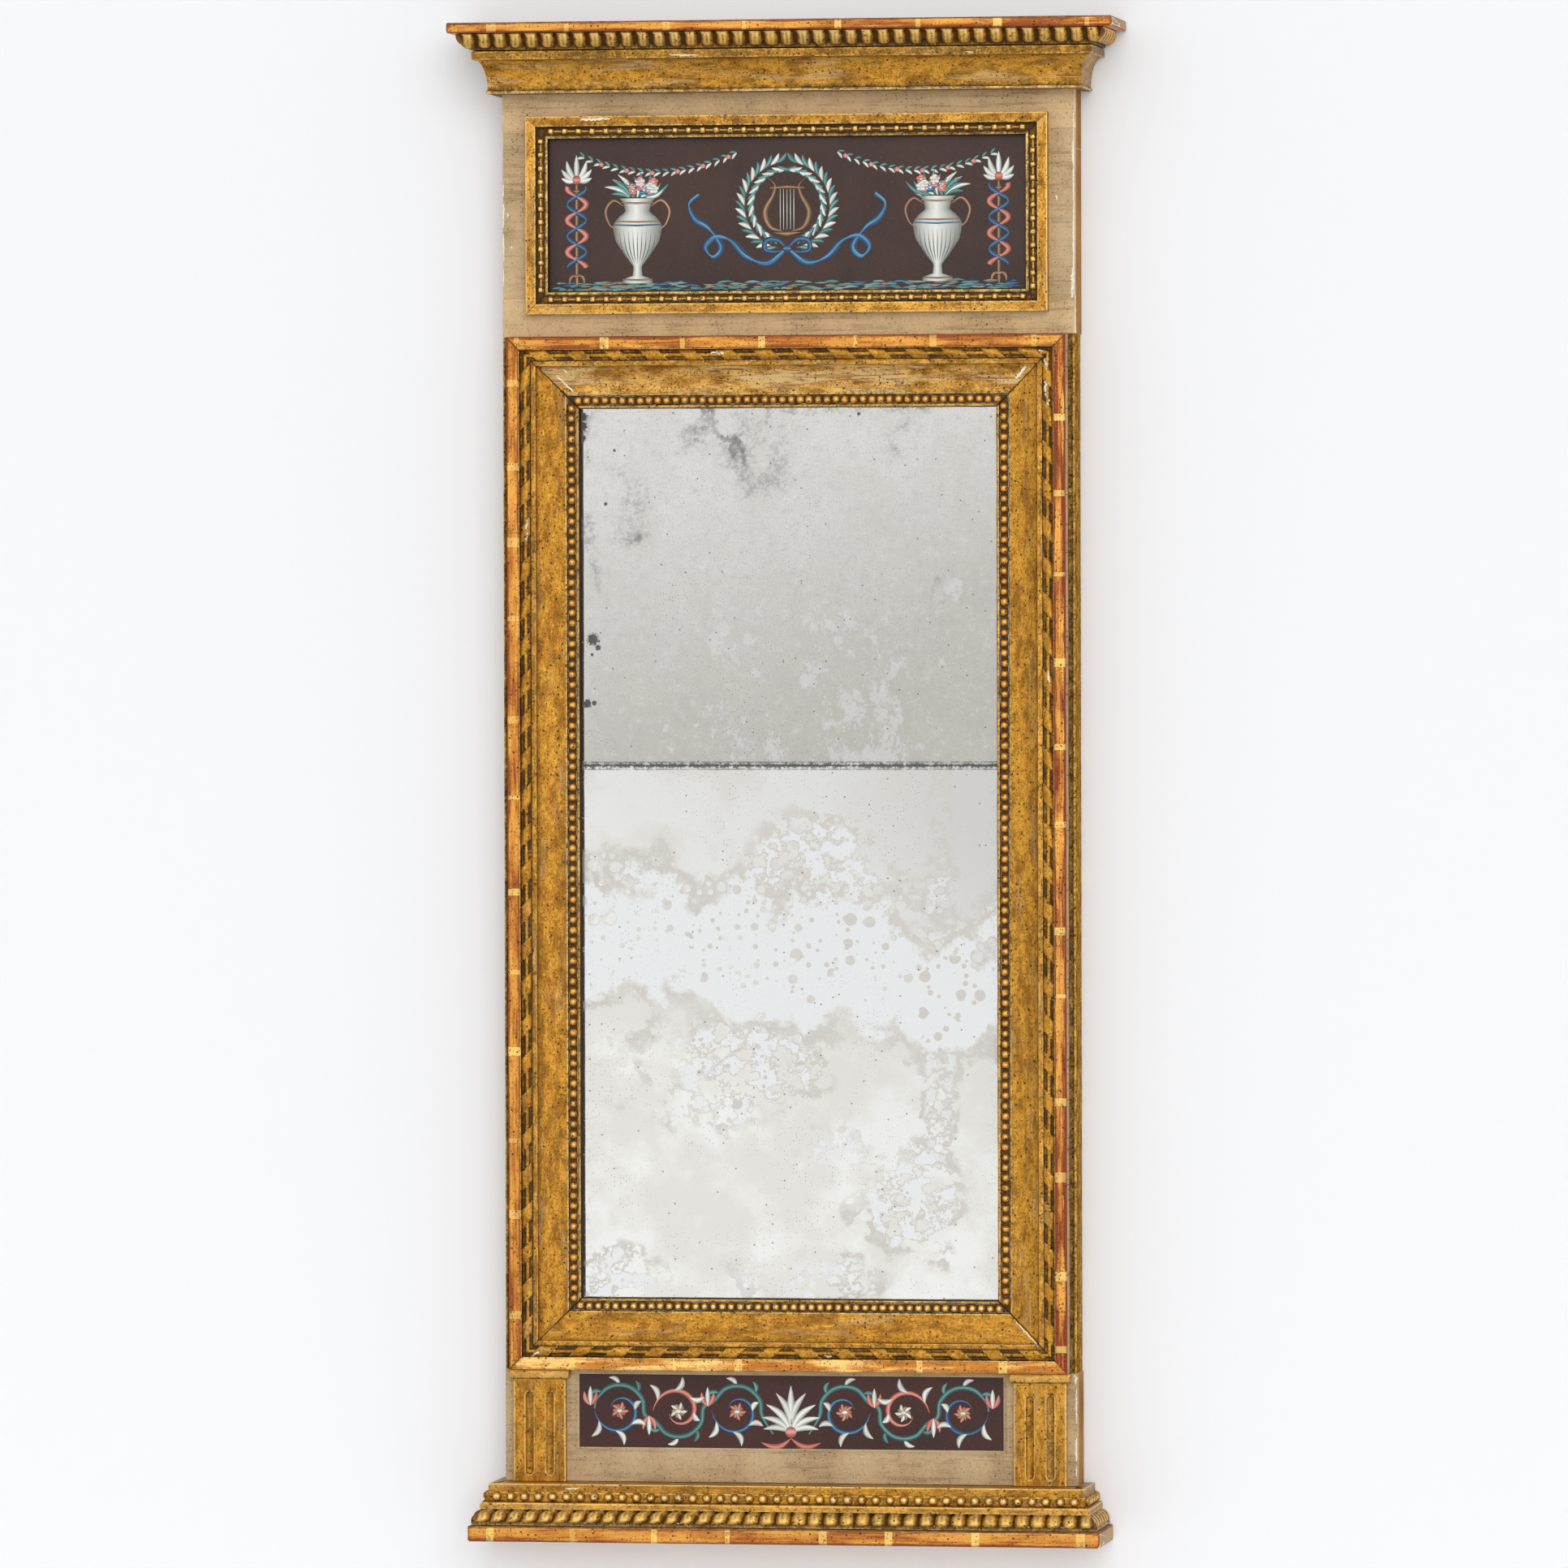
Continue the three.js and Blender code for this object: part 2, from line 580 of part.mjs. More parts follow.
// A strip of pearls for one side of the frame.
function pearlSide(length, side) {
  const from = COVE_END + GAP;
  const to = PEARL_END - GAP;
  const middle = (from + to) / 2;
  const floor = PEARL_FLOOR + GAP;
  const bedFace = floor + PEARL_BED;
  const strip = run(rectangle(floor, from, bedFace, to), -length / 2, length / 2);
  const pitch = isUpright(side) ? STILE_PEARL_PITCH : RAIL_PEARL_PITCH;
  const centres = evenCentres(middle - length / 2, length / 2 - middle, pitch);
  const pearls = pearlRow(centres, FRAME_PEARL_RADIUS, middle, bedFace);
  return geometryOf(mitred(joined([strip, ...pearls]), length, FRAME_WIDTH));
}

function addMainFrame() {
  const bounds = { halfWidth: FRAME_HALF_WIDTH, bottom: FRAME_LEVEL, top: FRIEZE_LEVEL - GAP };
  addFrame('frame', bounds, frameSide, materials.mattGilding);
  addFrame('ribbon', bounds, ribbonSide, materials.burnishedGilding);
  addFrame('pearls', bounds, pearlSide, materials.mattGilding);
}

// ---------------------------------------------------------------------------------------------
// Mirror plates and their backboards
// ---------------------------------------------------------------------------------------------

function addMirror() {
  const halfWidth = SIGHT_HALF_WIDTH + REBATE_WIDTH - GAP;
  const plateBack = BACK_PLANE + GAP;
  const joint = SIGHT_BOTTOM + LOWER_PLATE_SIGHT;
  const bottom = SIGHT_BOTTOM - REBATE_WIDTH + GAP;
  const top = SIGHT_TOP + REBATE_WIDTH - GAP;
  const plate = (z0, z1) =>
    geometryOf(block(-halfWidth, halfWidth, -plateBack - PLATE_THICKNESS, -plateBack, z0, z1));
  addPiece('mirror_lower', plate(bottom, joint), materials.mirror);
  addPiece('mirror_upper', plate(joint + GAP, top), materials.mirror);

  const boardFront = BACK_PLANE - GAP;
  const boardBack = boardFront - BACKBOARD_THICKNESS;
  const boardHalf = SIGHT_HALF_WIDTH + BACKBOARD_OVERLAP;
  const board = block(
    GAP / 2, boardHalf, -boardFront, -boardBack,
    SIGHT_BOTTOM - BACKBOARD_OVERLAP, SIGHT_TOP + BACKBOARD_OVERLAP,
  );
  addPair('mirror_backboard', geometryOf(board), materials.pine);
}

// ---------------------------------------------------------------------------------------------
// The frieze and its picture
// ---------------------------------------------------------------------------------------------

function addFriezeBoards() {
  const { halfWidth, bottom, top } = FRIEZE_OPENING;
  const board = (x0, x1, z0, z1) => geometryOf(block(x0, x1, -CASE_DEPTH, -BACK_PLANE, z0, z1));
  const width = CASE_HALF_WIDTH;
  addPiece('frieze_board_bottom', board(-width, width, FRIEZE_LEVEL, bottom), materials.paint);
  addPiece('frieze_board_top', board(-width, width, top, CASE_TOP), materials.paint);
  addPair('frieze_board', board(halfWidth, width, bottom + GAP, top - GAP), materials.paint);
}

// The picture frame's section: distance from the wall, and distance in from the outer edge.
function pictureSection() {
  const c = SMALL_CHAMFER;
  const back = CASE_DEPTH + GAP;
  const face = CASE_DEPTH + PICTURE_RISE;
  const bed = face - PICTURE_BEAD_DROP;
  const bedEnd = PICTURE_BAND + PICTURE_BEAD_BED;
  const sight = face - PICTURE_FILLET_DROP;
  return [
    [back, 0], [face - c, 0], [face, c], [face, PICTURE_BAND - c], [face - c, PICTURE_BAND],
    [bed, PICTURE_BAND], [bed, bedEnd], [sight, bedEnd], [sight, PICTURE_WIDTH],
    [back, PICTURE_WIDTH],
  ];
}

function pictureSide(length) {
  const moulding = run(pictureSection(), -length / 2, length / 2);
  const across = PICTURE_BAND + PICTURE_BEAD_BED / 2;
  const bedFace = CASE_DEPTH + PICTURE_RISE - PICTURE_BEAD_DROP;
  const centres = evenCentres(across - length / 2, length / 2 - across, PICTURE_PEARL_PITCH);
  const pearls = pearlRow(centres, PICTURE_PEARL_RADIUS, across, bedFace);
  return geometryOf(mitred(joined([moulding, ...pearls]), length, PICTURE_WIDTH));
}

function addPicture() {
  const bounds = { halfWidth: PICTURE_HALF_WIDTH, bottom: PICTURE_BOTTOM, top: PICTURE_TOP };
  addFrame('picture_frame', bounds, pictureSide, materials.mattGilding);
  const halfWidth = FRIEZE_OPENING.halfWidth - GAP;
  const bottom = FRIEZE_OPENING.bottom + GAP;
  const top = FRIEZE_OPENING.top - GAP;
  const front = CASE_DEPTH;
  const back = front - GLASS_THICKNESS;
  const glass = block(-halfWidth, halfWidth, -front, -back, bottom, top);
  addPiece('picture_glass', geometryOf(glass), materials.paintedGlass);
  const board = block(-halfWidth, halfWidth, GAP - back, -BACK_PLANE, bottom, top);
  addPiece('picture_backboard', geometryOf(board), materials.pine);
}

// ---------------------------------------------------------------------------------------------
// The plinth
// ---------------------------------------------------------------------------------------------

// The plinth's board, with a bevelled window and a rebate behind it for the glass.
function plinthBoard() {
  const { bottom, top } = WINDOW;
  const half = WINDOW_HALF_WIDTH;
  const board = block(
    -CASE_HALF_WIDTH, CASE_HALF_WIDTH, -CASE_DEPTH, -BACK_PLANE, PLINTH_LEVEL, FRAME_LEVEL - GAP,
  );
  const sight = new THREE.Shape(
    rectangle(-half, bottom, half, top).map(([x, z]) => new THREE.Vector2(x, z)),
  );
  const bevel = new THREE.ExtrudeGeometry(sight, {
    depth: CASE_DEPTH,
    bevelThickness: WINDOW_BEVEL,
    bevelSize: WINDOW_BEVEL,
    bevelSegments: 1,
  });
  bevel.applyMatrix4(AXES.y).translate(0, -CASE_DEPTH, 0);
  const lip = CASE_DEPTH - WINDOW_LIP;
  const through = block(-half, half, -CASE_DEPTH, 0, bottom, top);
  const r = GLASS_OVERLAP;
  const rebate = block(-half - r, half + r, -lip, 0, bottom - r, top + r - GAP);
  return board.subtract(joined([solid(bevel), through, rebate]));
}

// The shaft of a pilaster, with two stopped flutes.
function pilaster() {
  const x0 = PILASTER_CENTRE - PILASTER_WIDTH / 2;
  const x1 = PILASTER_CENTRE + PILASTER_WIDTH / 2;
  const c = SMALL_CHAMFER;
  const back = CASE_DEPTH + GAP;
  const face = CASE_DEPTH + PILASTER_THICKNESS;
  const top = FRAME_LEVEL - CAP_HEIGHT - GAP;
  const outline = [
    [x0, -back], [x1, -back], [x1, c - face], [x1 - c, -face], [x0 + c, -face], [x0, c - face],
  ];
  const shaft = prism(outline, 'z', PLINTH_LEVEL, top);
  const fluteTop = top - FLUTE_HEAD - FLUTE_RADIUS;
  const fluteBottom = PLINTH_LEVEL + FLUTE_FOOT + FLUTE_RADIUS;
  const flute = new THREE.CapsuleGeometry(FLUTE_RADIUS, fluteTop - fluteBottom, 2, 10);
  flute.rotateX(Math.PI / 2);
  const axisY = FLUTE_DEPTH - FLUTE_RADIUS - face;
  const axisZ = (fluteTop + fluteBottom) / 2;
  const flutes = [-FLUTE_SPREAD, FLUTE_SPREAD].map((offset) =>
    solid(flute.clone().translate(PILASTER_CENTRE + offset, axisY, axisZ)));
  return geometryOf(shaft.subtract(joined(flutes)));
}

// A pilaster's cap: the same moulded profile on its front and both sides.
function pilasterCap() {
  const bottom = FRAME_LEVEL - CAP_HEIGHT;
  const top = FRAME_LEVEL - GAP;
  const abacus = bottom + 0.6 * CAP_HEIGHT;
  const half = PILASTER_WIDTH / 2;
  const profile = (overhang) => [
    [0, bottom],
    ...arc(0, abacus, 0.75 * overhang, abacus - bottom - 1, 270, 360, 3),
    [overhang, abacus], [overhang, top],
  ];
  const right = profile(CAP_SIDE).map(([o, z]) => [PILASTER_CENTRE + half + o, z]);
  const left = profile(CAP_SIDE).map(([o, z]) => [PILASTER_CENTRE - half - o, z]);
  const across = prism([...right, ...left.reverse()], 'y', -2 * CASE_DEPTH, 0);
  const back = -CASE_DEPTH - GAP;
  const face = CASE_DEPTH + PILASTER_THICKNESS;
  const fromSide = profile(CAP_FRONT).map(([o, z]) => [-face - o, z]);
  const outline = [...fromSide, [back, top], [back, bottom]];
  const along = prism(outline, 'x', 0, CASE_HALF_WIDTH + CAP_SIDE);
  return geometryOf(across.intersect(along));
}

function addPlinth() {
  addPiece('plinth_board', geometryOf(plinthBoard()), materials.paint);
  const lip = CASE_DEPTH - WINDOW_LIP;
  const reach = GLASS_OVERLAP - GAP;
  const half = WINDOW_HALF_WIDTH + reach;
  const bottom = WINDOW.bottom - reach;
  const top = WINDOW.top + reach - GAP;
  const glassBack = lip - GAP - GLASS_THICKNESS;
  const glass = block(-half, half, GAP - lip, -glassBack, bottom, top);
  addPiece('plinth_glass', geometryOf(glass), materials.paintedGlass);
  const panel = block(-half, half, GAP - glassBack, -BACK_PLANE, bottom, top);
  addPiece('plinth_backboard', geometryOf(panel), materials.pine);
  addPair('pilaster', pilaster(), materials.mattGilding);
  addPair('pilaster_cap', pilasterCap(), materials.mattGilding);
}

// ---------------------------------------------------------------------------------------------
// Cornice and base
// ---------------------------------------------------------------------------------------------

// A planted moulding's section is given as [projection from its ground, z]. The front piece also
// fills the space between its ground and the boards behind it; a return is planted on a cheek.

function frontMoulding(section, ground, backing, reach) {
  const half = CASE_HALF_WIDTH;
  const filled = [[backing - ground, section[0][1]], ...section,
    [backing - ground, section.at(-1)[1]]];
  const long = run(filled.map(([o, z]) => [ground + o, z]), -half - reach, half + reach);
  const plan = [
    [-half, -backing], [half, -backing], [half, -ground], [half + reach, -ground - reach],
    [-half - reach, -ground - reach], [-half, -ground],
  ];
  return { long, plan };
}

function returnMoulding(section, ground, reach) {
  const inner = CASE_HALF_WIDTH + GAP;
  const outer = CASE_HALF_WIDTH + reach;
  const profile = [[GAP, section[0][1]], ...section, [GAP, section.at(-1)[1]]];
  const outline = profile.map(([o, z]) => [CASE_HALF_WIDTH + o, z]);
  const long = prism(outline, 'y', -ground - reach, 0);
  const mitre = GAP * Math.SQRT2;
  const plan = [[inner, 0], [outer, 0], [outer, mitre - ground - reach],
    [inner, mitre - ground - GAP]];
  return { long, plan };
}

const cutToPlan = (body, plan) => body.intersect(prism(plan, 'z', 0, 2 * TOP_LEVEL));

// V-shaped cuts across a convex moulding. `foot` and `head` are the ends of the moulding's chord,
// as [projection, z], and `place` carries a cutter from the front's frame to where it belongs.
function carvedGrooves(centres, foot, head, leanOf, place) {
  const chord = Math.hypot(head[0] - foot[0], head[1] - foot[1]);
  const tilt = Math.atan2(head[0] - foot[0], head[1] - foot[1]);
  const overrun = 4;
  const mouth = 2; // how far the V opens in front of the moulding
  const scale = (CARVED_GROOVE_DEPTH + mouth) / CARVED_GROOVE_DEPTH;
  const half = (CARVED_GROOVE_WIDTH / 2) * scale;
  const outline = [[0, 0], [half, -CARVED_GROOVE_DEPTH * scale],
    [-half, -CARVED_GROOVE_DEPTH * scale]];
  return centres.map((along) => {
    const cutter = prismGeometry(outline, 'z', -chord / 2 - overrun, chord / 2 + overrun);
    cutter.applyMatrix4(new THREE.Matrix4().makeShear(0, 0, 0, 0, leanOf(along), 0));
    cutter.rotateX(tilt);
    cutter.translate(0, -(foot[0] + head[0]) / 2, (foot[1] + head[1]) / 2);
    return solid(place(cutter, along));
  });
}

// A carved moulding: its front and the right return. `rowAt` is the projection at which the
// ornament's spacing is set, `lean` the side that its grooves lean to as they rise.
function carvedRun(section, options) {
  const { ground, backing, reach, pitch, rowAt, foot, head, lean, pearls } = options;
  const front = frontMoulding(section, ground, backing, reach);
  const back = returnMoulding(section, ground, reach);
  const halfRow = CASE_HALF_WIDTH + rowAt;
  const frontRow = evenCentres(-halfRow, halfRow, pitch);
  const sideRow = evenCentres(-ground - rowAt, 0, pitch);
  const onFront = (cutter, x) => cutter.translate(x, -ground, 0);
  const onSide = (cutter, y) => cutter.rotateZ(Math.PI / 2).translate(CASE_HALF_WIDTH, y, 0);
  const frontCuts = carvedGrooves(frontRow, foot, head, (x) => lean * Math.sign(x), onFront);
  const sideCuts = carvedGrooves(sideRow, foot, head, () => 0, onSide);
  let frontBody = front.long.subtract(joined(frontCuts));
  let sideBody = back.long.subtract(joined(sideCuts));
  if (pearls) {
    frontBody = joined([frontBody, ...pearls.front()]);
    sideBody = joined([sideBody, ...pearls.side()]);
  }
  return {
    front: geometryOf(cutToPlan(frontBody, front.plan)),
    side: geometryOf(cutToPlan(sideBody, back.plan)),
  };
}

// The cove below the cornice's carved moulding: a foot fillet, a deep hollow and a lip.
function coveSection() {
  const foot = 3;
  const lip = 9;
  const hollowHeight = COVE_HEIGHT - lip - foot - 2;
  const rim = COVE_LIP - 2.5;
  const top = OVOLO_LEVEL - GAP;
  return [
    [COVE_FOOT, COVE_LEVEL], [COVE_FOOT, COVE_LEVEL + foot], [COVE_HOLLOW, COVE_LEVEL + foot],
    ...arc(rim, COVE_LEVEL + foot + 2, rim - COVE_HOLLOW, hollowHeight, 180, 90, 7),
    [COVE_LIP, OVOLO_LEVEL - lip], [COVE_LIP, top],
  ];
}

function ovoloSection() {
  const start = COVE_LIP - 1;
  const radius = OVOLO_PROJECTION - start;
  const spring = OVOLO_LEVEL + 0.5;
  const top = TOP_LEVEL - GAP;
  return [
    [start - 1, OVOLO_LEVEL], [start, spring],
    ...arc(start, spring + radius, radius, radius, 270, 360, 3).slice(1),
    [OVOLO_PROJECTION, top],
  ];
}

function addCornice() {
  const common = { ground: CORNICE_FRONT, backing: CASE_DEPTH + GAP };
  const cove = coveSection();
  const front = frontMoulding(cove, common.ground, common.backing, COVE_LIP);
  const side = returnMoulding(cove, common.ground, COVE_LIP);
  addPiece('cove_front', geometryOf(cutToPlan(front.long, front.plan)), materials.mattGilding);
  addPair('cove_return', geometryOf(cutToPlan(side.long, side.plan)), materials.mattGilding);

  const start = COVE_LIP - 1;
  const radius = OVOLO_PROJECTION - start;
  const ovolo = carvedRun(ovoloSection(), {
    ...common,
    reach: OVOLO_PROJECTION,
    pitch: LOBE_PITCH,
    rowAt: OVOLO_PROJECTION,
    foot: [start - 0.4, OVOLO_LEVEL + 0.9],
    head: [OVOLO_PROJECTION - 0.4, OVOLO_LEVEL + 0.9 + radius],
    lean: CARVED_SLANT,
  });
  addPiece('ovolo_front', ovolo.front, materials.mattGilding);
  addPair('ovolo_return', ovolo.side, materials.mattGilding);

  const slab = chamferedSlab(
    CASE_HALF_WIDTH + TOP_SLAB_PROJECTION, CORNICE_FRONT + TOP_SLAB_PROJECTION,
    TOP_LEVEL, TOP_LEVEL + TOP_SLAB_HEIGHT,
  );
  addPiece('top_slab', slab, materials.burnishedGilding);
}

// Heights in the base moulding, from its own foot
const GADROON_FOOT = 2;
const GADROON_HEIGHT = 13;
const STRIP_HEIGHT = 7;
const BEAD_BED_HEIGHT = 9;
const STRIP_SLOPE = 1.5;
const GADROON_TOP = BASE_LEVEL + GADROON_FOOT + GADROON_HEIGHT;
const STRIP_TOP = GADROON_TOP + STRIP_HEIGHT;
const BEAD_BED_BOTTOM = STRIP_TOP + STRIP_SLOPE;
const BEAD_BED_TOP = BEAD_BED_BOTTOM + BEAD_BED_HEIGHT;
const GADROON_START = BASE_STRIP_PROJECTION - 1;

function baseSection() {
  const rise = GADROON_PROJECTION - GADROON_START;
  const spring = BASE_LEVEL + GADROON_FOOT;
  return [
    [GADROON_PROJECTION - 1, BASE_LEVEL], [GADROON_PROJECTION - 1, spring - 0.4],
    ...arc(GADROON_START, spring, rise, GADROON_HEIGHT, 0, 90, 3),
    [BASE_STRIP_PROJECTION, GADROON_TOP + 0.5], [BASE_STRIP_PROJECTION, STRIP_TOP],
    [BASE_BEAD_BED, BEAD_BED_BOTTOM], [BASE_BEAD_BED, BEAD_BED_TOP],
    [BASE_TOP_PROJECTION, BEAD_BED_TOP], [BASE_TOP_PROJECTION, PLINTH_LEVEL - GAP],
  ];
}

function addBase() {
  const beadLevel = (BEAD_BED_BOTTOM + BEAD_BED_TOP) / 2;
  const bead = pearl(BASE_PEARL_RADIUS);
  const halfRow = CASE_HALF_WIDTH + BASE_BEAD_BED;
  const frontRow = evenCentres(-halfRow, halfRow, BASE_PEARL_PITCH);
  const sideRow = evenCentres(-BASE_FRONT - BASE_BEAD_BED, 0, BASE_PEARL_PITCH);
  const turned = bead.clone().rotateZ(Math.PI / 2);
  const base = carvedRun(baseSection(), {
    ground: BASE_FRONT,
    backing: BACK_PLANE,
    reach: GADROON_PROJECTION,
    pitch: GADROON_PITCH,
    rowAt: GADROON_PROJECTION,
    foot: [GADROON_PROJECTION - 0.4, BASE_LEVEL + GADROON_FOOT],
    head: [GADROON_START - 0.4, GADROON_TOP],
    lean: -CARVED_SLANT,
    pearls: {
      front: () => frontRow.map((x) =>
        solid(bead.clone().translate(x, -BASE_FRONT - BASE_BEAD_BED, beadLevel))),
      side: () => sideRow.map((y) =>
        solid(turned.clone().translate(CASE_HALF_WIDTH + BASE_BEAD_BED, y, beadLevel))),
    },
  });
  addPiece('base_mould_front', base.front, materials.mattGilding);
  addPair('base_mould_return', base.side, materials.mattGilding);
  const slab = chamferedSlab(
    CASE_HALF_WIDTH + BASE_SLAB_PROJECTION, BASE_FRONT + BASE_SLAB_PROJECTION,
    0, BASE_SLAB_HEIGHT - GAP,
  );
  addPiece('base_slab', slab, materials.burnishedGilding);
}

addCase();
addMainFrame();
addMirror();
addFriezeBoards();
addPicture();
addPlinth();
addCornice();
addBase();

export default trumeau;
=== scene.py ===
import math
import random

import bmesh
import bpy
import numpy as np
from mathutils import Matrix, Vector
from mathutils.bvhtree import BVHTree


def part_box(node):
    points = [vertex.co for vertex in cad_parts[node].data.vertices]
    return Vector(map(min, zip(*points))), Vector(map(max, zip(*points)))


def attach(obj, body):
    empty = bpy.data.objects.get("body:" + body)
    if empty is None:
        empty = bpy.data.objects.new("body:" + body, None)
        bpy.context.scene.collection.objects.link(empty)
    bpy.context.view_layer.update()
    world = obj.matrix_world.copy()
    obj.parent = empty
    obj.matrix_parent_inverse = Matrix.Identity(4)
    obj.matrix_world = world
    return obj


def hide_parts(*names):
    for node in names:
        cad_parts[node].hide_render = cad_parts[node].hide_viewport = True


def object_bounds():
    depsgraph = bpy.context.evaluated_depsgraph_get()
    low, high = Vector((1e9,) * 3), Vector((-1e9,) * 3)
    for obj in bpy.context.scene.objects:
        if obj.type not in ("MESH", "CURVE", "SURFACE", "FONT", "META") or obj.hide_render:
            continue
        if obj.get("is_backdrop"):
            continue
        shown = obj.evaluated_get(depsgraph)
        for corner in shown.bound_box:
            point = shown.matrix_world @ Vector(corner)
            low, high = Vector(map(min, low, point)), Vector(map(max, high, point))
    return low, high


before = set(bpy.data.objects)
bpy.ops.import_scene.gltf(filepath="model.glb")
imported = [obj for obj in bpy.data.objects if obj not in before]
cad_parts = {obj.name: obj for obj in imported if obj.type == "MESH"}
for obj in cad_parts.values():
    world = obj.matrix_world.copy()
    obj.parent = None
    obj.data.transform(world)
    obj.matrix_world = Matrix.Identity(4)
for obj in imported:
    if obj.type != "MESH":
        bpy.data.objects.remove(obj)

CAD_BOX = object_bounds()
MM = 0.001
BODY = "root"

# ---------------------------------------------------------------------------------------------
# Measures that the sections share with the solids
# ---------------------------------------------------------------------------------------------

GAP = 0.3  # clearance between pieces

# The main frame, across its face: outer band, ribbon channel, fillet, cove, pearls, fillet
BAND = 13.0
RIBBON_CHANNEL = 10.7
RIBBON_CHANNEL_DEPTH = 6.5
FILLET = 5.3
FILLET_DROP = 3.5
COVE = 29.5
COVE_QUIRK = 1.5
PEARL_CHANNEL = 9.2
PEARL_CHANNEL_DEPTH = 3.5
SIGHT_FILLET = 3.3
SIGHT_DROP = 13.5
REBATE = 6.4
RIBBON_START = BAND
RIBBON_END = RIBBON_START + RIBBON_CHANNEL
COVE_START = RIBBON_END + FILLET
COVE_END = COVE_START + COVE
PEARL_END = COVE_END + PEARL_CHANNEL
FRAME_WIDTH = PEARL_END + SIGHT_FILLET

RIBBON_PITCH = 37.6
RIBBON_FACE = 20.0
RIBBON_SLANT = 0.95
RIBBON_LEANS = {"bottom": (1, -1), "top": (-1, -1), "left": (-1, -1), "right": (1, 1)}
RIBBON_BED = 1.4
ROD_RADIUS = 2.3
STILE_PEARLS = 10.1  # pitch of the pearls
RAIL_PEARLS = 8.85
PEARL_BED = 1.7
PEARL_RADIUS = 4.2

PICTURE_BAND = 10.5
PICTURE_BED = 8.5
PICTURE_FILLET = 3.5
PICTURE_RISE = 12.0
PICTURE_BED_DROP = 5.5
PICTURE_FILLET_DROP = 4.0
PICTURE_PEARLS = 13.8
PICTURE_PEARL_RADIUS = 3.8
PICTURE_WIDTH = PICTURE_BAND + PICTURE_BED + PICTURE_FILLET

# The cornice and the base: how far their members stand out from their grounds, and their heights
TOP_SLAB_OUT = 45.0
OVOLO_OUT = 37.0
COVE_FOOT_OUT, COVE_HOLLOW_OUT = 11.3, 10.0
COVE_FOOT, COVE_LIP = 3.0, 9.0
LOBE_PITCH = 16.0
CARVING_STEP = 1.1  # between the points of a carved row
GADROON_OUT = 26.5
GADROON_FOOT_OUT, GADROON_HEAD_OUT = 25.5, 17.5
BASE_BELT_OUT, BASE_BED_OUT, BASE_STRIP_OUT = 18.5, 13.0, 11.0
GADROON_HEIGHT, BASE_BELT, BASE_SPLAY, BASE_BED = 15, 7, 1.5, 9
GADROON_PITCH = 15.8
BASE_PEARLS = 14.0
BASE_PEARL_RADIUS = 4.9

# The pilasters and their caps
FLUTE_SPREAD = 10.3
FLUTE_RADIUS = 4.2
FLUTE_DEPTH = 3.0
FLUTE_FOOT, FLUTE_HEAD = 6.0, 10.0
CAP_SIDE, CAP_FRONT = 4, 5

PLINTH_WINDOW = 425.0, 72.5
PLINTH_MARGIN = 33.5  # board under its window


def corners(node):
    """A CAD node's lowest and highest corners, in millimetres."""
    low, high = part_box(node)
    return np.array(low) / MM, np.array(high) / MM


FRAME_LOW = corners("frame_bottom")[0]
FRAME_HIGH = corners("frame_top")[1]
CASE_HALF = corners("frieze_board_top")[1][0]
FACE = -corners("frieze_board_top")[0][1]  # wall to the face of the painted boards
FRAME_FACE = -FRAME_LOW[1]

# ---------------------------------------------------------------------------------------------
# Shells: the points and faces of a piece
# ---------------------------------------------------------------------------------------------


def add_object(name, data):
    made = bpy.data.objects.new(name, data)
    bpy.context.scene.collection.objects.link(made)
    return made


class Place:
    """Where a run lies: its origin, the way it runs, and the way across it."""

    def __init__(self, origin, along, across):
        self.origin = np.array(origin, float)
        self.along = np.array(along, float)
        self.across = np.array(across, float)
        self.outward = np.cross(self.along, self.across)

    def __call__(self, x, z, d):
        return (
            self.origin
            + x[..., None] * self.along
            + z[..., None] * self.across
            + d[..., None] * self.outward
        )


def arc(u, v, radius_u, radius_v, start, end, steps):
    angles = np.radians(np.linspace(start, end, steps + 1))
    return [(u + radius_u * math.cos(a), v + radius_v * math.sin(a)) for a in angles]


def spread(length, fine):
    """Where a stretch of an outline gets points: closer at its ends, or all along if carved."""
    if fine or length < 3:
        return np.arange(0, length - 1e-6, fine or length)
    near = [d for d in (0.0, 0.8, 2.0, 4.5, 10.0) if d < length / 2]
    count = max(0, int((length - 2 * near[-1]) / 30))
    between = np.linspace(near[-1], length - near[-1], count + 2)[1:-1]
    return np.array([*near, *between, *[length - d for d in near[:0:-1]]])


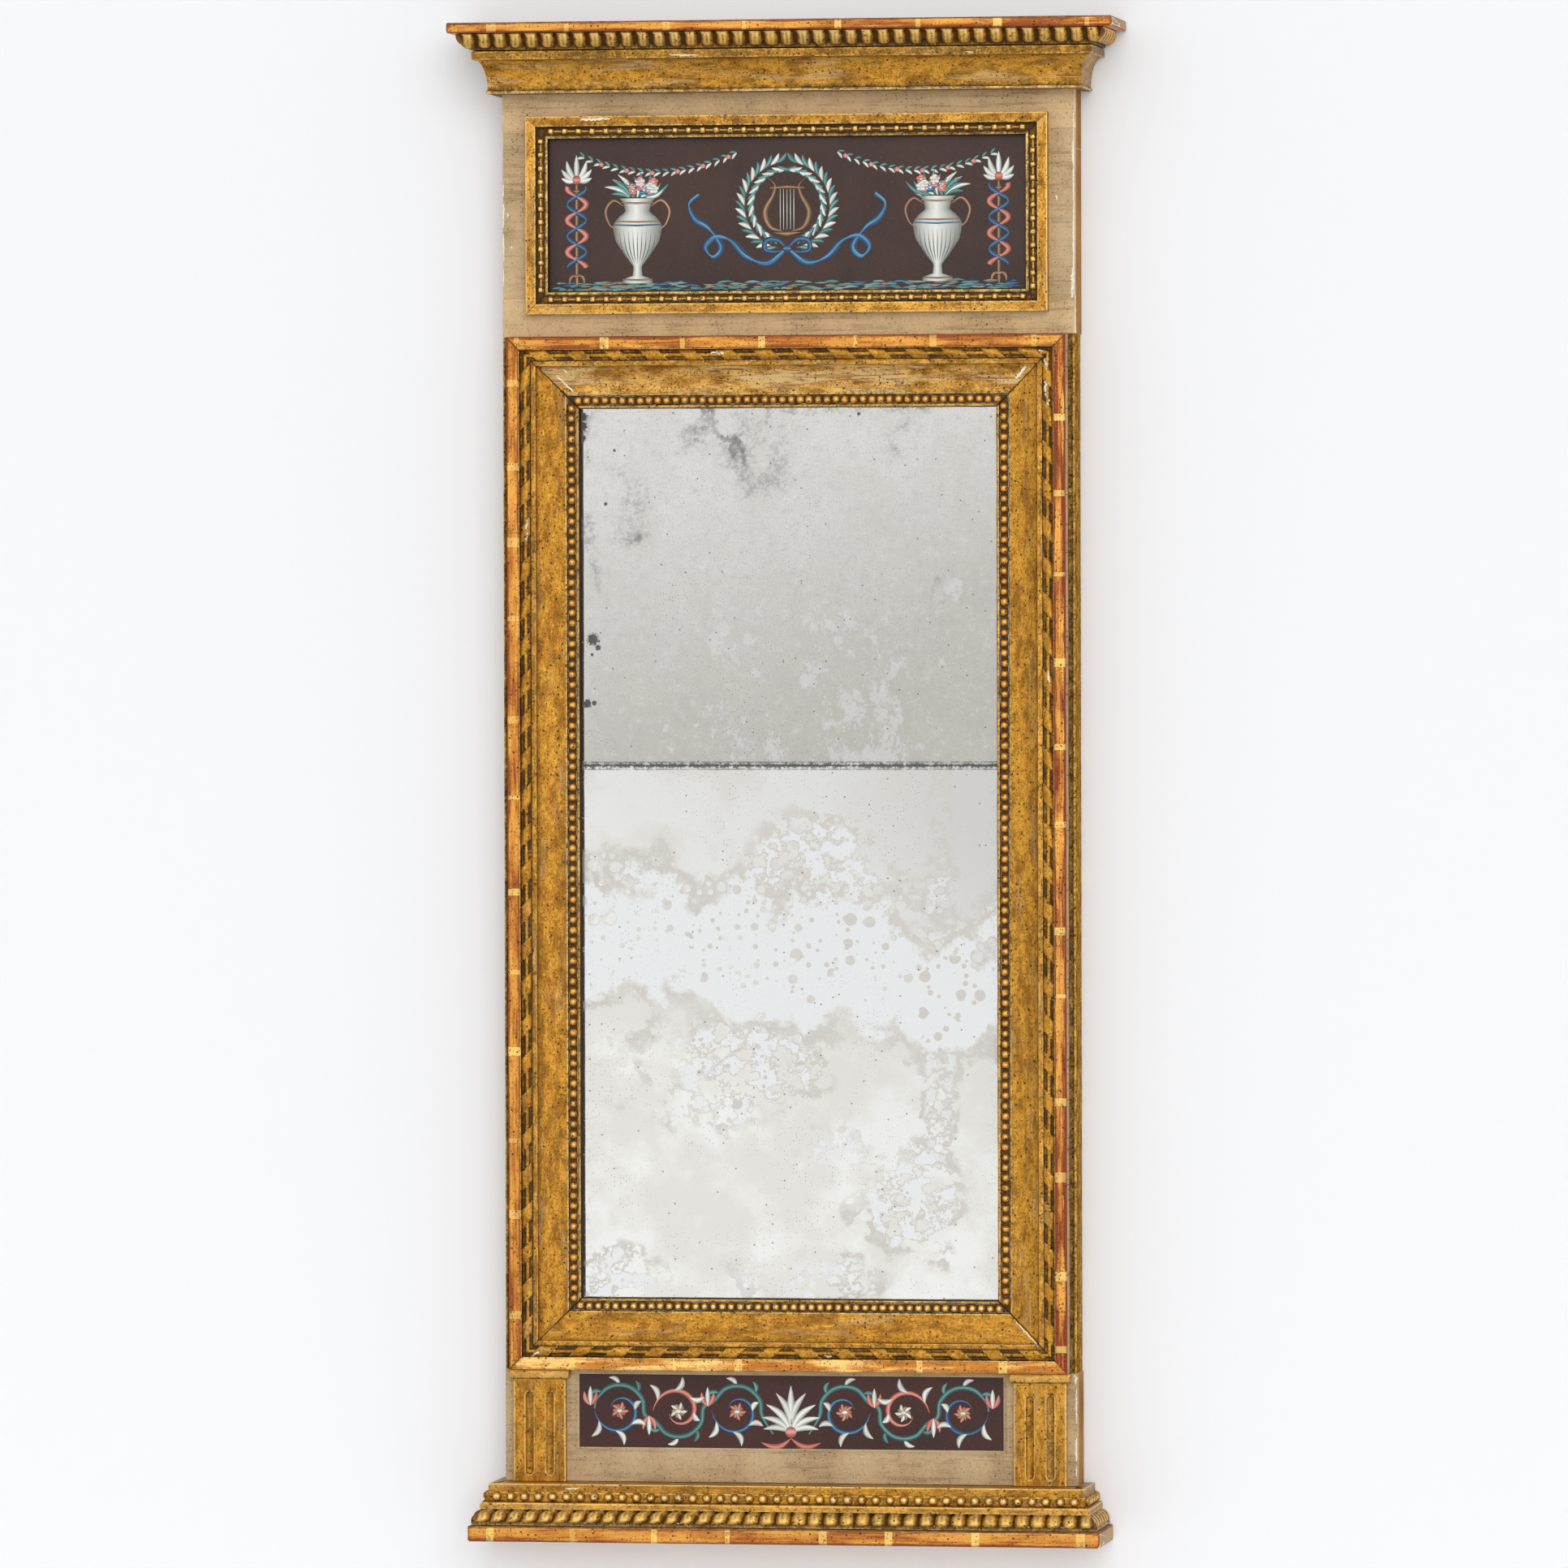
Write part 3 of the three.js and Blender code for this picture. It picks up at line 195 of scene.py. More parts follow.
class Section:
    """A closed outline (across, depth), with its arrises eased and its wear and dirt known.

    Each corner is (depth, across, finish): the finish is that of the stretch that follows it.
    fine gives the spacing of the points on a finish that is carved, and soil_and_shade the
    darkening on one: grime and patina, and painted shade under overhangs.
    """

    def __init__(self, outline, ease=0.7, fine=None, soil_and_shade=None):
        corner_list, finishes = [], []
        for depth, across, finish in outline:
            if corner_list and math.dist(corner_list[-1], (across, depth)) < 0.01:
                finishes[-1] = finish
                continue
            corner_list.append((across, depth))
            finishes.append(finish)
        corner_list = np.array(corner_list)
        after = np.roll(corner_list, -1, axis=0)
        if np.sum(corner_list[:, 0] * after[:, 1] - after[:, 0] * corner_list[:, 1]) < 0:
            corner_list = corner_list[::-1]
            finishes = finishes[-2::-1] + finishes[-1:]
        self.trace(corner_list, finishes, ease, fine or {})
        self.measure(soil_and_shade or {})

    def trace(self, corner_list, finishes, ease, fine):
        points, turns, self.finish = [], [], []
        total = len(corner_list)
        for i, here in enumerate(corner_list):
            back, ahead = corner_list[i - 1] - here, corner_list[(i + 1) % total] - here
            back_length, ahead_length = np.linalg.norm(back), np.linalg.norm(ahead)
            back, ahead = back / back_length, ahead / ahead_length
            turn = math.degrees(math.atan2(back[1] * ahead[0] - back[0] * ahead[1], -back @ ahead))
            start = 0.0
            if abs(turn) > 25:
                reach = min(ease, 0.4 * back_length, 0.4 * ahead_length)
                points += [here + back * reach, here + (back + ahead) * 0.29 * reach]
                turns += [0.0, turn]
                self.finish += [finishes[i - 1]] * 2
                start = reach
            stretch = ahead_length - start - min(ease, 0.4 * ahead_length)
            for distance in spread(stretch, fine.get(finishes[i])):
                points.append(here + ahead * (start + distance))
                turns.append(0.0)
                self.finish.append(finishes[i])
        self.across, self.depth = np.array(points).T
        self.turns = np.array(turns)

    def measure(self, soil_and_shade):
        step = np.hypot(
            np.roll(self.across, -1) - self.across, np.roll(self.depth, -1) - self.depth)
        self.run = np.concatenate([[0.0], np.cumsum(step)[:-1]])
        girth = step.sum()
        self.wear = np.zeros(len(self.run))
        self.dirt = np.array([soil_and_shade.get(kind, 0.0) for kind in self.finish])
        for at, turn in zip(self.run, self.turns):
            distance = np.abs(self.run - at)
            distance = np.minimum(distance, girth - distance)
            weight = min(1.0, abs(turn) / 80)
            if turn > 0:
                self.wear += weight * (0.75 * np.exp(-distance) + 0.25 * np.exp(-distance / 4))
            else:
                self.dirt += weight * (0.6 * np.exp(-distance / 1.5) + 0.4 * np.exp(-distance / 6))
        tangent_across = np.roll(self.across, -1) - np.roll(self.across, 1)
        tangent_depth = np.roll(self.depth, -1) - np.roll(self.depth, 1)
        length = np.hypot(tangent_across, tangent_depth)
        self.normal_across = tangent_depth / length
        self.normal_depth = -tangent_across / length

    def span(self, kind):
        """0 to 1 up the stretch with this finish, and a mask of its points."""
        mask = np.array([k == kind for k in self.finish])
        run = self.run[mask]
        share = np.zeros(len(self.run))
        share[mask] = (run - run.min()) / (run.max() - run.min())
        if self.across[mask][0] > self.across[mask][-1]:
            share[mask] = 1 - share[mask]
        return share, mask


def waver(x, seed, size):
    """The slight unevenness of a surface worked by hand, along its run."""
    chance = random.Random(seed)
    total = np.zeros_like(x)
    for wavelength in (41.0, 97.0, 230.0):
        phase = chance.uniform(0, 2 * math.pi)
        total += np.sin(2 * math.pi * x / wavelength + phase)
    return total * size / 3


def tube(rings, around):
    """The faces of a tube made of rings of points, and of its two ends."""
    index = np.arange(rings * around).reshape(rings, around)
    turned = np.roll(index, -1, axis=1)
    quads = np.stack([index[:-1], turned[:-1], turned[1:], index[1:]], -1).reshape(-1, 4)
    return [*quads, index[0][::-1], index[-1]]


def flush(x):
    """A square end to a run."""
    return lambda across, depth: x


def opposite(end):
    """The same end on the other side of a run's middle."""
    return lambda across, depth: -end(across, depth)


class Shell:
    """Closed bodies in millimetres, with what the finishes read at each point."""

    # wear holds worn arrises and the painted highlights on the crowns of pearls and lobes; dirt
    # holds grime and patina, and the painted shade round pearls, between lobes and under overhangs.
    LAYERS = {"flow": ("FLOAT_VECTOR", "vector"), "wear": ("FLOAT", "value"),
              "dirt": ("FLOAT", "value")}
    CREASE = 42  # the least angle of a sharp edge, or None where every face is flat

    def __init__(self):
        self.points, self.faces, self.finish = [], [], []
        self.layers = {name: [] for name in self.LAYERS}
        self.count = 0

    def add(self, points, faces, finish=0, **layers):
        """Adds a body. finish is the index of its material, or one for each face."""
        self.points.append(points)
        for name, values in layers.items():
            self.layers[name].append(values)
        self.faces += [tuple(int(i) + self.count for i in face) for face in faces]
        self.finish += finish if isinstance(finish, list) else [finish] * len(faces)
        self.count += len(points)

    def sweep(self, section, place, start, end, finishes, step=9.0, relief=None, seed="",
              eased=0.0, uneven=0.15, joint=0.0):
        """Carries a section along a run whose ends may be mitred.

        start and end give x for each point of the section. relief gives what to add outwards, and
        the wear and dirt that come with it, painted highlights and shade among them. joint is the
        dirt beside the ends.
        """
        x0 = start(section.across, section.depth) + 0 * section.run
        x1 = end(section.across, section.depth) + 0 * section.run
        length = float(np.max(x1 - x0))
        near = np.array([0.35, 1.0, 3.0]) * (eased or 1.5) / length
        stations = np.linspace(0, 1, max(2, int(length / step) + 1))
        stations = np.unique(np.concatenate([stations, near, 1 - near]))
        x = x0 + (x1 - x0) * stations[:, None]
        from_end = np.minimum(stations, 1 - stations)[:, None] * length
        wear = np.broadcast_to(section.wear, x.shape)
        dirt = section.dirt + joint * np.exp(-from_end / 0.8)
        lift = waver(x, f"{seed}lift", uneven) - uneven
        if relief:
            extra, extra_wear, extra_dirt = relief(x, section)
            lift, wear, dirt = lift + extra, wear + extra_wear, dirt + extra_dirt
        if eased:
            lift = lift - eased * (1 - np.sqrt(1 - np.clip(1 - from_end / eased, 0, 1) ** 2))
            wear = wear + np.exp(-from_end / 1.1)
        across = section.across + lift * section.normal_across
        depth = section.depth + lift * section.normal_depth
        offset = random.Random(seed).uniform(0, 4000)
        self.add(
            place(x, across, depth).reshape(-1, 3),
            tube(*x.shape),
            [finishes[k] for k in section.finish] * (len(x) - 1) + [finishes["end"]] * 2,
            flow=np.stack([x, section.run + 0 * x, 0 * x + offset], -1).reshape(-1, 3),
            wear=np.clip(wear, 0, 1.5).ravel(),
            dirt=np.clip(dirt, 0, 1.5).ravel(),
        )
        return self

    def pearl(self, place, x, across, bed, radius, finish, chance, flat=0.0, square=0.05):
        """One carved pearl on its bed, never quite round, with a painted highlight on its crown and
        painted shade round its foot.

        flat is how far its crown is worn down, and square how squared it is.
        """
        sides, rings = 16, 6
        rise = radius * chance.uniform(0.9, 1.05)
        wide, high = radius * chance.uniform(0.96, 1.06), radius * chance.uniform(0.96, 1.06)
        shift = chance.uniform(-0.25, 0.25)
        turn = chance.uniform(-0.3, 0.3)
        angles = turn + np.linspace(0, math.tau, sides, endpoint=False)
        lat = np.radians(np.linspace(-14, 82 - 34 * flat, rings))[:, None]
        boxy = 1 - square * np.cos(4 * (angles - turn))
        px = (x + shift + wide * np.cos(lat) * np.cos(angles) * boxy).ravel()
        pz = (across + high * np.cos(lat) * np.sin(angles) * boxy).ravel()
        pd = np.broadcast_to(bed + rise * np.sin(lat), (rings, sides)).ravel()
        crown = chance.uniform(-0.25, 0.05) * flat
        px, pz = np.append(px, x + shift), np.append(pz, across)
        pd = np.append(pd, pd[-1] + (0.02 + crown) * radius)
        height = (pd - bed) / rise
        *quads, foot, ring = tube(rings, sides)
        cap = [(a, b, rings * sides) for a, b in zip(ring, np.roll(ring, -1))]
        offset = chance.uniform(0, 4000)
        self.add(
            place(px, pz, pd), [*quads, *cap, foot], finish,
            flow=np.stack([px - x, pz - across, pd * 0 + offset], -1),
            # wear: the pale crown is a painted highlight over worn gold. dirt: the darkening
            # towards the foot is painted shade that rounds the pearl, with grime at the bed.
            wear=np.clip((height - 0.72) * 3.2, 0, 0.9),
            dirt=np.clip(0.8 - 1.7 * height, 0, 1.0),
        )

    def show(self, name, materials, replaces=(), slot=None):
        """Makes the piece, which rides on the body and stands for its CAD nodes."""
        mesh = bpy.data.meshes.new(name)
        mesh.from_pydata((np.concatenate(self.points) * MM).tolist(), [], self.faces)
        for material in materials:
            mesh.materials.append(material)
        mesh.polygons.foreach_set("material_index", np.array(self.finish, np.int32))
        for key, (kind, field) in self.LAYERS.items():
            values = np.concatenate(self.layers[key]).astype(np.float32)
            mesh.attributes.new(key, kind, "POINT").data.foreach_set(field, values.ravel())
        work = bmesh.new()
        work.from_mesh(mesh)
        bmesh.ops.recalc_face_normals(work, faces=work.faces)
        work.to_mesh(mesh)
        work.free()
        if self.CREASE:
            mesh.polygons.foreach_set("use_smooth", np.ones(len(mesh.polygons), bool))
            mesh.set_sharp_from_angle(angle=math.radians(self.CREASE))
        piece = add_object(name, mesh)
        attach(piece, BODY)
        if replaces:
            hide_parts(*replaces)


def even_centres(start, end, pitch):
    """Centres of evenly spaced ornaments on a run, kept clear of its mitres."""
    end_share = 0.75
    count = max(1, round((end - start) / pitch - 2 * end_share + 1))
    step = (end - start) / (count - 1 + 2 * end_share)
    return [start + step * (end_share + i) for i in range(count)]


# ---------------------------------------------------------------------------------------------
# Finishes
# ---------------------------------------------------------------------------------------------


def tint(red, green, blue):
    """A colour as it looks, 0 to 255, as Blender's linear one."""
    values = (red / 255, green / 255, blue / 255)
    return tuple(v / 12.92 if v <= 0.04045 else ((v + 0.055) / 1.055) ** 2.4 for v in values)


class Nodes:
    """A node tree in the making. Its methods, and those of a Finish, add nodes."""

    def __init__(self, tree):
        self.tree = tree
        tree.nodes.clear()

    def node(self, kind, inputs=None, **settings):
        made = self.tree.nodes.new("ShaderNode" + kind)
        for key, value in settings.items():
            setattr(made, key, value)
        for key, value in (inputs or {}).items():
            self.feed(made.inputs[key], value)
        return made

    def feed(self, socket, value):
        if isinstance(value, bpy.types.NodeSocket):
            self.tree.links.new(value, socket)
        elif socket.type == "RGBA":
            socket.default_value = (*value, 1.0)
        else:
            socket.default_value = value


class Finish(Nodes):
    """A material in the making: a colour that gets tone over tone, and then its surface."""

    def __init__(self, name, colour=None):
        self.material = bpy.data.materials.new(name)
        self.material.use_nodes = True
        super().__init__(self.material.node_tree)
        self.surface = self.node("BsdfPrincipled")
        self.output = self.node("OutputMaterial", {0: self.surface.outputs[0]})
        self.colour = colour

    def cover(self, tone, *shares):
        """Lays a tone over the colour, by the product of the shares."""
        self.colour = self.node(
            "Mix", {0: self.times(*shares), 6: self.colour, 7: tone}, data_type="RGBA"
        ).outputs[2]

    def lay(self, tone, value, low, high, *shares):
        """Lays a tone over the colour where a value has passed from low to high."""
        self.cover(tone, self.step(value, low, high), *shares)

    def close(self, height=None, depth=0.0, **values):
        """Sets the surface, with a height map's relief of a depth, and gives the material."""
        if height:
            bump = self.node("Bump", {"Height": height, "Distance": depth * MM, "Strength": 1.0})
            values["Normal"] = bump.outputs[0]
        for key, value in {"Base_Color": self.colour, **values}.items():
            self.feed(self.surface.inputs[key.replace("_", " ")], value)
        return self.material

    def attribute(self, name, output="Fac"):
        return self.node("Attribute", attribute_name=name).outputs[output]

    def flow(self):
        return self.attribute("flow", "Vector")

    def place(self):
        """The point's own place in the part's frame, in millimetres."""
        return self.stretch(self.node("TexCoord").outputs["Object"], 1000, 1000, 1000)

    def stretch(self, vector, x, y, z):
        return self.node(
            "VectorMath", {0: vector, 1: (x, y, z)}, operation="MULTIPLY"
        ).outputs[0]

    def axis(self, vector, name):
        return self.node("SeparateXYZ", {0: vector}).outputs[name]

    def flat(self, vector, down="Y"):
        """A vector's X and another of its coordinates, as a plane's coordinates.

        With Y, which a flow has up its section, its run's own offset is added to X.
        """
        parts = self.node("SeparateXYZ", {0: vector}).outputs
        along = self.sum(parts["X"], parts["Z"]) if down == "Y" else parts["X"]
        return self.node("CombineXYZ", {0: along, 1: parts[down]}).outputs[0]

    def noise(self, vector, scale, detail=3.0, roughness=0.6, distortion=0.0):
        return self.node("TexNoise", {
            "Vector": vector, "Scale": scale, "Detail": detail, "Roughness": roughness,
            "Distortion": distortion,
        }).outputs["Fac"]

    def grain(self, vector, scales, *settings):
        """Noise with a scale of its own along each axis."""
        return self.noise(self.stretch(vector, *scales), 1.0, *settings)

    def specks(self, vector, size, share):
        """Small round spots: their size in millimetres, and the share of cells that has one."""
        cell = size * 5
        spots = self.node(
            "TexVoronoi", {"Vector": vector, "Scale": 1 / cell}, voronoi_dimensions="2D").outputs
        chosen = self.step(self.axis(spots["Color"], "X"), 1 - share, 1.001 - share)
        return self.times(chosen, self.step(spots["Distance"], 0.2, 0.1))

    def math(self, operation, a, b=0.0):
        return self.node("Math", {0: a, 1: b}, operation=operation).outputs[0]

    def chain(self, operation, terms):
        total, *rest = terms
        for term in rest:
            total = self.math(operation, total, term)
        return total

    def sum(self, *terms):
        return self.chain("ADD", terms)

    def times(self, *terms):
        return self.chain("MULTIPLY", terms)

    def most(self, *terms):
        return self.chain("MAXIMUM", terms)

    def off(self, value, middle):
        """How far a value is from a middle one, either way."""
        return self.math("ABSOLUTE", self.sum(value, -middle))

    def swing(self, noise, size):
        """A noise about nought, times a size."""
        return self.times(self.sum(noise, -0.5), size)

    def weigh(self, *pairs):
        """The sum of values, each times the weight that follows it."""
        return self.sum(*[self.times(*pair) for pair in zip(pairs[::2], pairs[1::2])])

    def step(self, value, low, high):
        """0 below low and 1 above high, with a smooth rise between them."""
        return self.node("MapRange", {
            "Value": value, "From Min": low, "From Max": high,
        }, interpolation_type="SMOOTHSTEP").outputs[0]

    def blend(self, factor, a, b):
        return self.node("Mix", {0: factor, 2: a, 3: b}).outputs[0]


GOLD = tint(200, 143, 48)
GOLD_DEEP = tint(160, 102, 24)
GOLD_PALE = tint(232, 196, 118)
GOLD_RUB = tint(210, 176, 116)
GOLD_BRIGHT = tint(224, 172, 72)
PATINA = tint(66, 46, 18)
OLIVE = tint(108, 74, 20)
BOLE = tint(132, 50, 20)
BOLE_BROWN = tint(134, 78, 36)
BOLE_ORANGE = tint(178, 108, 50)
GESSO = tint(240, 230, 210)
SOOT = tint(36, 26, 14)
GOLD_LEAF = 84.0  # side of a leaf of gold


def close_gilding(f, flow, grains, thin, chips, metal, sheen, roughness, relief, depth):
    """What time lays on any gilding: olive glaze and dark patina in its hollows, specks, chips. The
    glaze and patina follow dirt, so they also paint the shade round pearls, between lobes and under
    overhangs.

    grains are its fine and its streaky noise, thin is where the gold is rubbed away, and chips
    are the scale of the chips and the level that brings them. roughness is the gold's, and the
    patina's. relief is the weights of the two grains and of the chips.
    """
    cloud, grit = f.noise(flow, 0.08, 4, 0.7), f.noise(flow, 0.4, 5, 0.85)
    # hidden is dirt broken by noise: grime and patina, with painted shade.
    hidden = f.sum(f.attribute("dirt"), f.swing(cloud, 1.6), f.swing(grit, 2.6))
    f.lay(OLIVE, hidden, 0.1, 0.55, 0.75)
    soiled_and_shaded = f.step(hidden, 0.5, 1.0)
    f.cover(PATINA, soiled_and_shaded, 0.92)
    plane = f.flat(flow)
    large = f.specks(f.stretch(plane, 0.9, 1, 1), 1.3, 0.14)
    f.cover(SOOT, f.most(f.specks(plane, 0.8, 0.35), large), 0.85)
    scale, level = chips
    patch = f.noise(flow, scale, 4, 0.65)
    chipped = f.step(f.sum(f.attribute("wear"), patch), level, level + 0.03)
    f.cover(GESSO, chipped, 0.9)
    dull = f.most(soiled_and_shaded, chipped, f.times(thin, 0.5))
    fine, streak = grains
    bright, mid, worn = roughness
    height = f.weigh(fine, relief[0], streak, relief[1], chipped, relief[2])
    return f.close(
        height, depth, Metallic=f.blend(dull, metal, 0.0), Specular_IOR_Level=sheen,
        Roughness=f.blend(dull, f.blend(fine, bright, mid), worn))


def matt_gilding(name, rub=0.3, crown=GOLD_PALE, chips=0.5, olive=0.45, brown=0.5, gold=GOLD,
                 metal=0.65, sheen=0.25):
    """Matt gilding on gesso, rubbed pale in streaks and darkened in its hollows."""
    f = Finish(name, gold)
    flow = f.flow()
    piece = f.grain(flow, (0.0, 0.0, 7.3), 0)
    long = f.grain(flow, (0.011, 0.09, 1.0), 4, 0.6)
    cloud = f.grain(flow, (0.035, 0.09, 1.0), 5, 0.7)
    fine = f.grain(flow, (0.35, 0.5, 1.0), 4, 0.85)
    streak = f.grain(flow, (0.025, 0.4, 1.0), 5, 0.7, 0.4)
    mottle = f.grain(flow, (0.13, 0.2, 1.0), 6, 0.9)
    f.lay(GOLD_DEEP, f.sum(cloud, f.times(piece, 0.3)), 0.52, 0.82)
    f.lay(GOLD_BRIGHT, fine, 0.5, 0.32, 0.7)
    f.lay(tint(118, 82, 26), mottle, 0.5, 0.6, 0.6)
    f.lay(OLIVE, fine, 0.52, 0.66, 0.8)
    f.lay(OLIVE, f.sum(cloud, f.times(long, 0.5)), 0.7, 0.88, olive)
    handled = f.sum(long, f.times(streak, 0.45))
    rubbed = f.times(f.step(handled, 0.82 - 0.1 * rub, 0.9 - 0.1 * rub), rub)
    f.cover(GOLD_RUB, rubbed)
    f.lay(BOLE_BROWN, streak, 0.52, 0.6, f.step(long, 0.44, 0.56), brown)
    # The crown tone goes where wear is high: rubbed arrises, and the painted highlights on the
    # crowns of pearls and lobes.
    f.lay(crown, f.sum(f.attribute("wear"), f.times(fine, 0.4)), 0.45, 0.95, 0.75)
    return close_gilding(f, flow, (fine, streak), rubbed, (0.11, 1.72 - 0.12 * chips), metal,
                         sheen, (0.22, 0.5, 0.75), (1.2, 0.5, -1.5), 0.35)


def burnished_gilding(name, bole=0.85, pale=tint(214, 152, 68)):
    """Burnished water gilding: red bole rubs through, and the leaves' laps show as pale bars."""
    f = Finish(name, pale)
    flow = f.flow()
    fine = f.grain(flow, (0.5, 1.0, 1.0), 4, 0.8)
    streak = f.grain(flow, (0.016, 0.5, 1.0), 5, 0.7, 0.3)
    patch = f.grain(flow, (0.014, 0.08, 1.0), 5, 0.6)
    f.lay(tint(192, 124, 48), patch, 0.4, 0.58)
    f.lay(GOLD_BRIGHT, fine, 0.48, 0.34, 0.5)
    f.lay(BOLE_ORANGE, streak, 0.46, 0.6, 0.5)
    worn = f.weigh(streak, 0.5, patch, 0.6, fine, 0.15, f.attribute("wear"), 0.45 * bole)
    red = f.times(f.step(worn, 0.66, 0.82), bole)
    f.cover(BOLE, red)
    leaf = f.math("DIVIDE", f.sum(f.axis(flow, "X"), f.axis(flow, "Z")), GOLD_LEAF)
    pick = f.node("TexWhiteNoise", {
        "W": f.math("FLOOR", leaf)}, noise_dimensions="1D").outputs["Color"]
    phase = f.sum(f.math("FRACT", leaf), f.swing(f.axis(pick, "X"), 0.3))
    width = f.sum(0.022, f.times(f.axis(pick, "Y"), 0.04))
    lap = f.math("LESS_THAN", f.off(phase, 0.5), width)
    strength = f.sum(0.5, f.times(f.axis(pick, "Z"), 0.5))
    f.cover(tint(238, 200, 112), lap, f.step(worn, 1.1, 0.8), strength, 0.8)
    return close_gilding(f, flow, (fine, streak), red, (0.12, 1.67), 0.7, 0.3,
                         (0.18, 0.42, 0.6), (0.7, 0.6, -2.0), 0.25)


def paint(name, tones, chips=0.7, grain=(0.009, 0.1, 0.2), window=None, sheen=0.35):
    """Old oil paint on gesso, brushed along the board, with worn and chipped arrises.

    tones are the paint's two colours and its shadow. A window's edges, given as half its width,
    its foot and its head, are worn.
    """
    light, dark, shadow = tones
    f = Finish(name, light)
    place, wear = f.place(), f.attribute("wear")
    if window:
        half, foot, head = window
        beyond = f.sum(f.off(f.axis(place, "Z"), (foot + head) / 2), -(head - foot) / 2)
        aside = f.sum(f.math("ABSOLUTE", f.axis(place, "X")), -half)
        wear = f.times(f.step(f.most(beyond, aside), 3.0, 0.5), 0.75)
    streak = f.grain(place, grain, 5, 0.7, 0.8)
    cloud = f.noise(place, 0.02, 4, 0.6)
    fine = f.noise(place, 0.45, 4, 0.85)
    f.lay(dark, cloud, 0.35, 0.65)
    f.lay(shadow, f.sum(streak, f.times(cloud, 0.4)), 0.7, 0.86, 0.6)
    f.lay(shadow, fine, 0.5, 0.7, 0.5)
    f.lay(tint(220, 200, 166), fine, 0.48, 0.3, 0.35)
    f.lay(tint(84, 66, 44), f.sum(f.attribute("dirt"), f.times(fine, 0.5)), 0.55, 1.2, 0.85)
    board = f.flat(place, "Z")
    small = f.specks(board, 0.6, 0.12)
    large = f.times(f.specks(f.stretch(board, 0.9, 1, 1), 0.9, 0.3), f.step(cloud, 0.45, 0.6))
    f.cover(SOOT, f.most(small, large), 0.8)
    f.lay(tint(222, 204, 172), wear, 0.3, 0.9, 0.35)
    level = 1.6 - 0.2 * chips
    chipped = f.step(f.sum(wear, f.noise(place, 0.07, 5, 0.7)), level, level + 0.04)
    chipped = f.most(chipped, f.specks(f.stretch(board, 1.1, 1, 1), 0.7, 0.02))
    f.cover(GESSO, chipped, 0.95)
    return f.close(f.weigh(fine, 0.35, streak, 0.8, chipped, -2.5), 0.25,
                   Roughness=f.blend(fine, 0.5, 0.75), Specular_IOR_Level=sheen)


def bare_gesso():
    """Gesso where the gilding or the paint has come away, soiled a little by handling."""
    f = Finish("bare_gesso", tint(244, 236, 218))
    place = f.place()
    fine = f.noise(place, 1.1, 4, 0.8)
    f.lay(tint(222, 196, 160), f.noise(place, 0.25, 4, 0.7), 0.45, 0.68)
    f.lay(tint(176, 142, 98), fine, 0.52, 0.7, 0.6)
    return f.close(fine, 0.2, Roughness=0.7, Specular_IOR_Level=0.3)


def old_pine():
    """Pine browned by age, sawn and planed, with its grain up the board."""
    f = Finish("old_pine", tint(156, 112, 70))
    place = f.place()
    rings = f.grain(place, (0.16, 0.16, 0.006), 4, 0.6, 0.6)
    fine = f.grain(place, (1.6, 1.6, 0.05), 3, 0.7)
    f.lay(tint(118, 78, 44), rings, 0.38, 0.62)
    f.lay(tint(92, 60, 34), fine, 0.5, 0.8, 0.5)
    f.lay(tint(88, 66, 46), f.noise(place, 0.012, 3, 0.5), 0.45, 0.7, 0.5)
    return f.close(f.sum(fine, f.times(rings, 0.6)), 0.3, Roughness=f.blend(fine, 0.7, 0.9),
                   Specular_IOR_Level=0.3)


def forged_iron():
    """Hammered strap iron, rusted brown in patches."""
    f = Finish("forged_iron", tint(58, 52, 48))
    place = f.place()
    rust = f.noise(place, 0.7, 5, 0.7)
    f.lay(tint(104, 62, 38), rust, 0.5, 0.66)
    return f.close(f.weigh(f.noise(place, 0.3, 3, 0.5), 2.0, rust, 0.3), 0.3,
                   Metallic=f.step(rust, 0.62, 0.5), Roughness=f.blend(rust, 0.5, 0.8))


def dark_rebate():
    """The mostly unseen inner edge of a sight, near black with dark brown patches."""
    f = Finish("dark_rebate", tint(30, 21, 13))
    f.lay(tint(58, 40, 22), f.noise(f.place(), 0.6, 4, 0.7), 0.35, 0.7)
    return f.close(Roughness=0.85, Specular_IOR_Level=0.2)


def painted_ground(name, light, dark):
    """The dark ground of the painted glass, seen through its polished front."""
    f = Finish(name, light)
    place = f.place()
    fine = f.grain(place, (0.3, 1.0, 0.6), 4, 0.7)
    f.lay(dark, f.noise(place, 0.014, 4, 0.6), 0.35, 0.68)
    f.lay(tint(72, 46, 42), fine, 0.5, 0.8, 0.3)
    f.cover(tint(140, 120, 112), f.specks(f.flat(place, "Z"), 0.4, 0.06), 0.4)
    return f.close(Roughness=f.blend(fine, 0.3, 0.4), Specular_IOR_Level=0.28, Coat_Weight=0.06,
                   Coat_Roughness=0.12)


def painted_ornament():
    """The colours laid on the glass: each stroke carries its own, broken by the brush."""
    f = Finish("painted_ornament")
    drag = f.grain(f.flow(), (0.12, 2.2, 1.0), 3, 0.6)
    fine = f.noise(f.place(), 1.2, 3, 0.65)
    factor = f.sum(0.82, f.times(drag, 0.24), f.times(fine, 0.12))
    pigment = f.attribute("pigment", "Color")
    f.colour = f.node("VectorMath", {0: pigment, "Scale": factor}, operation="SCALE").outputs[0]
    return f.close(Roughness=f.blend(fine, 0.3, 0.5), Specular_IOR_Level=0.4, Coat_Weight=0.12,
                   Coat_Roughness=0.12)


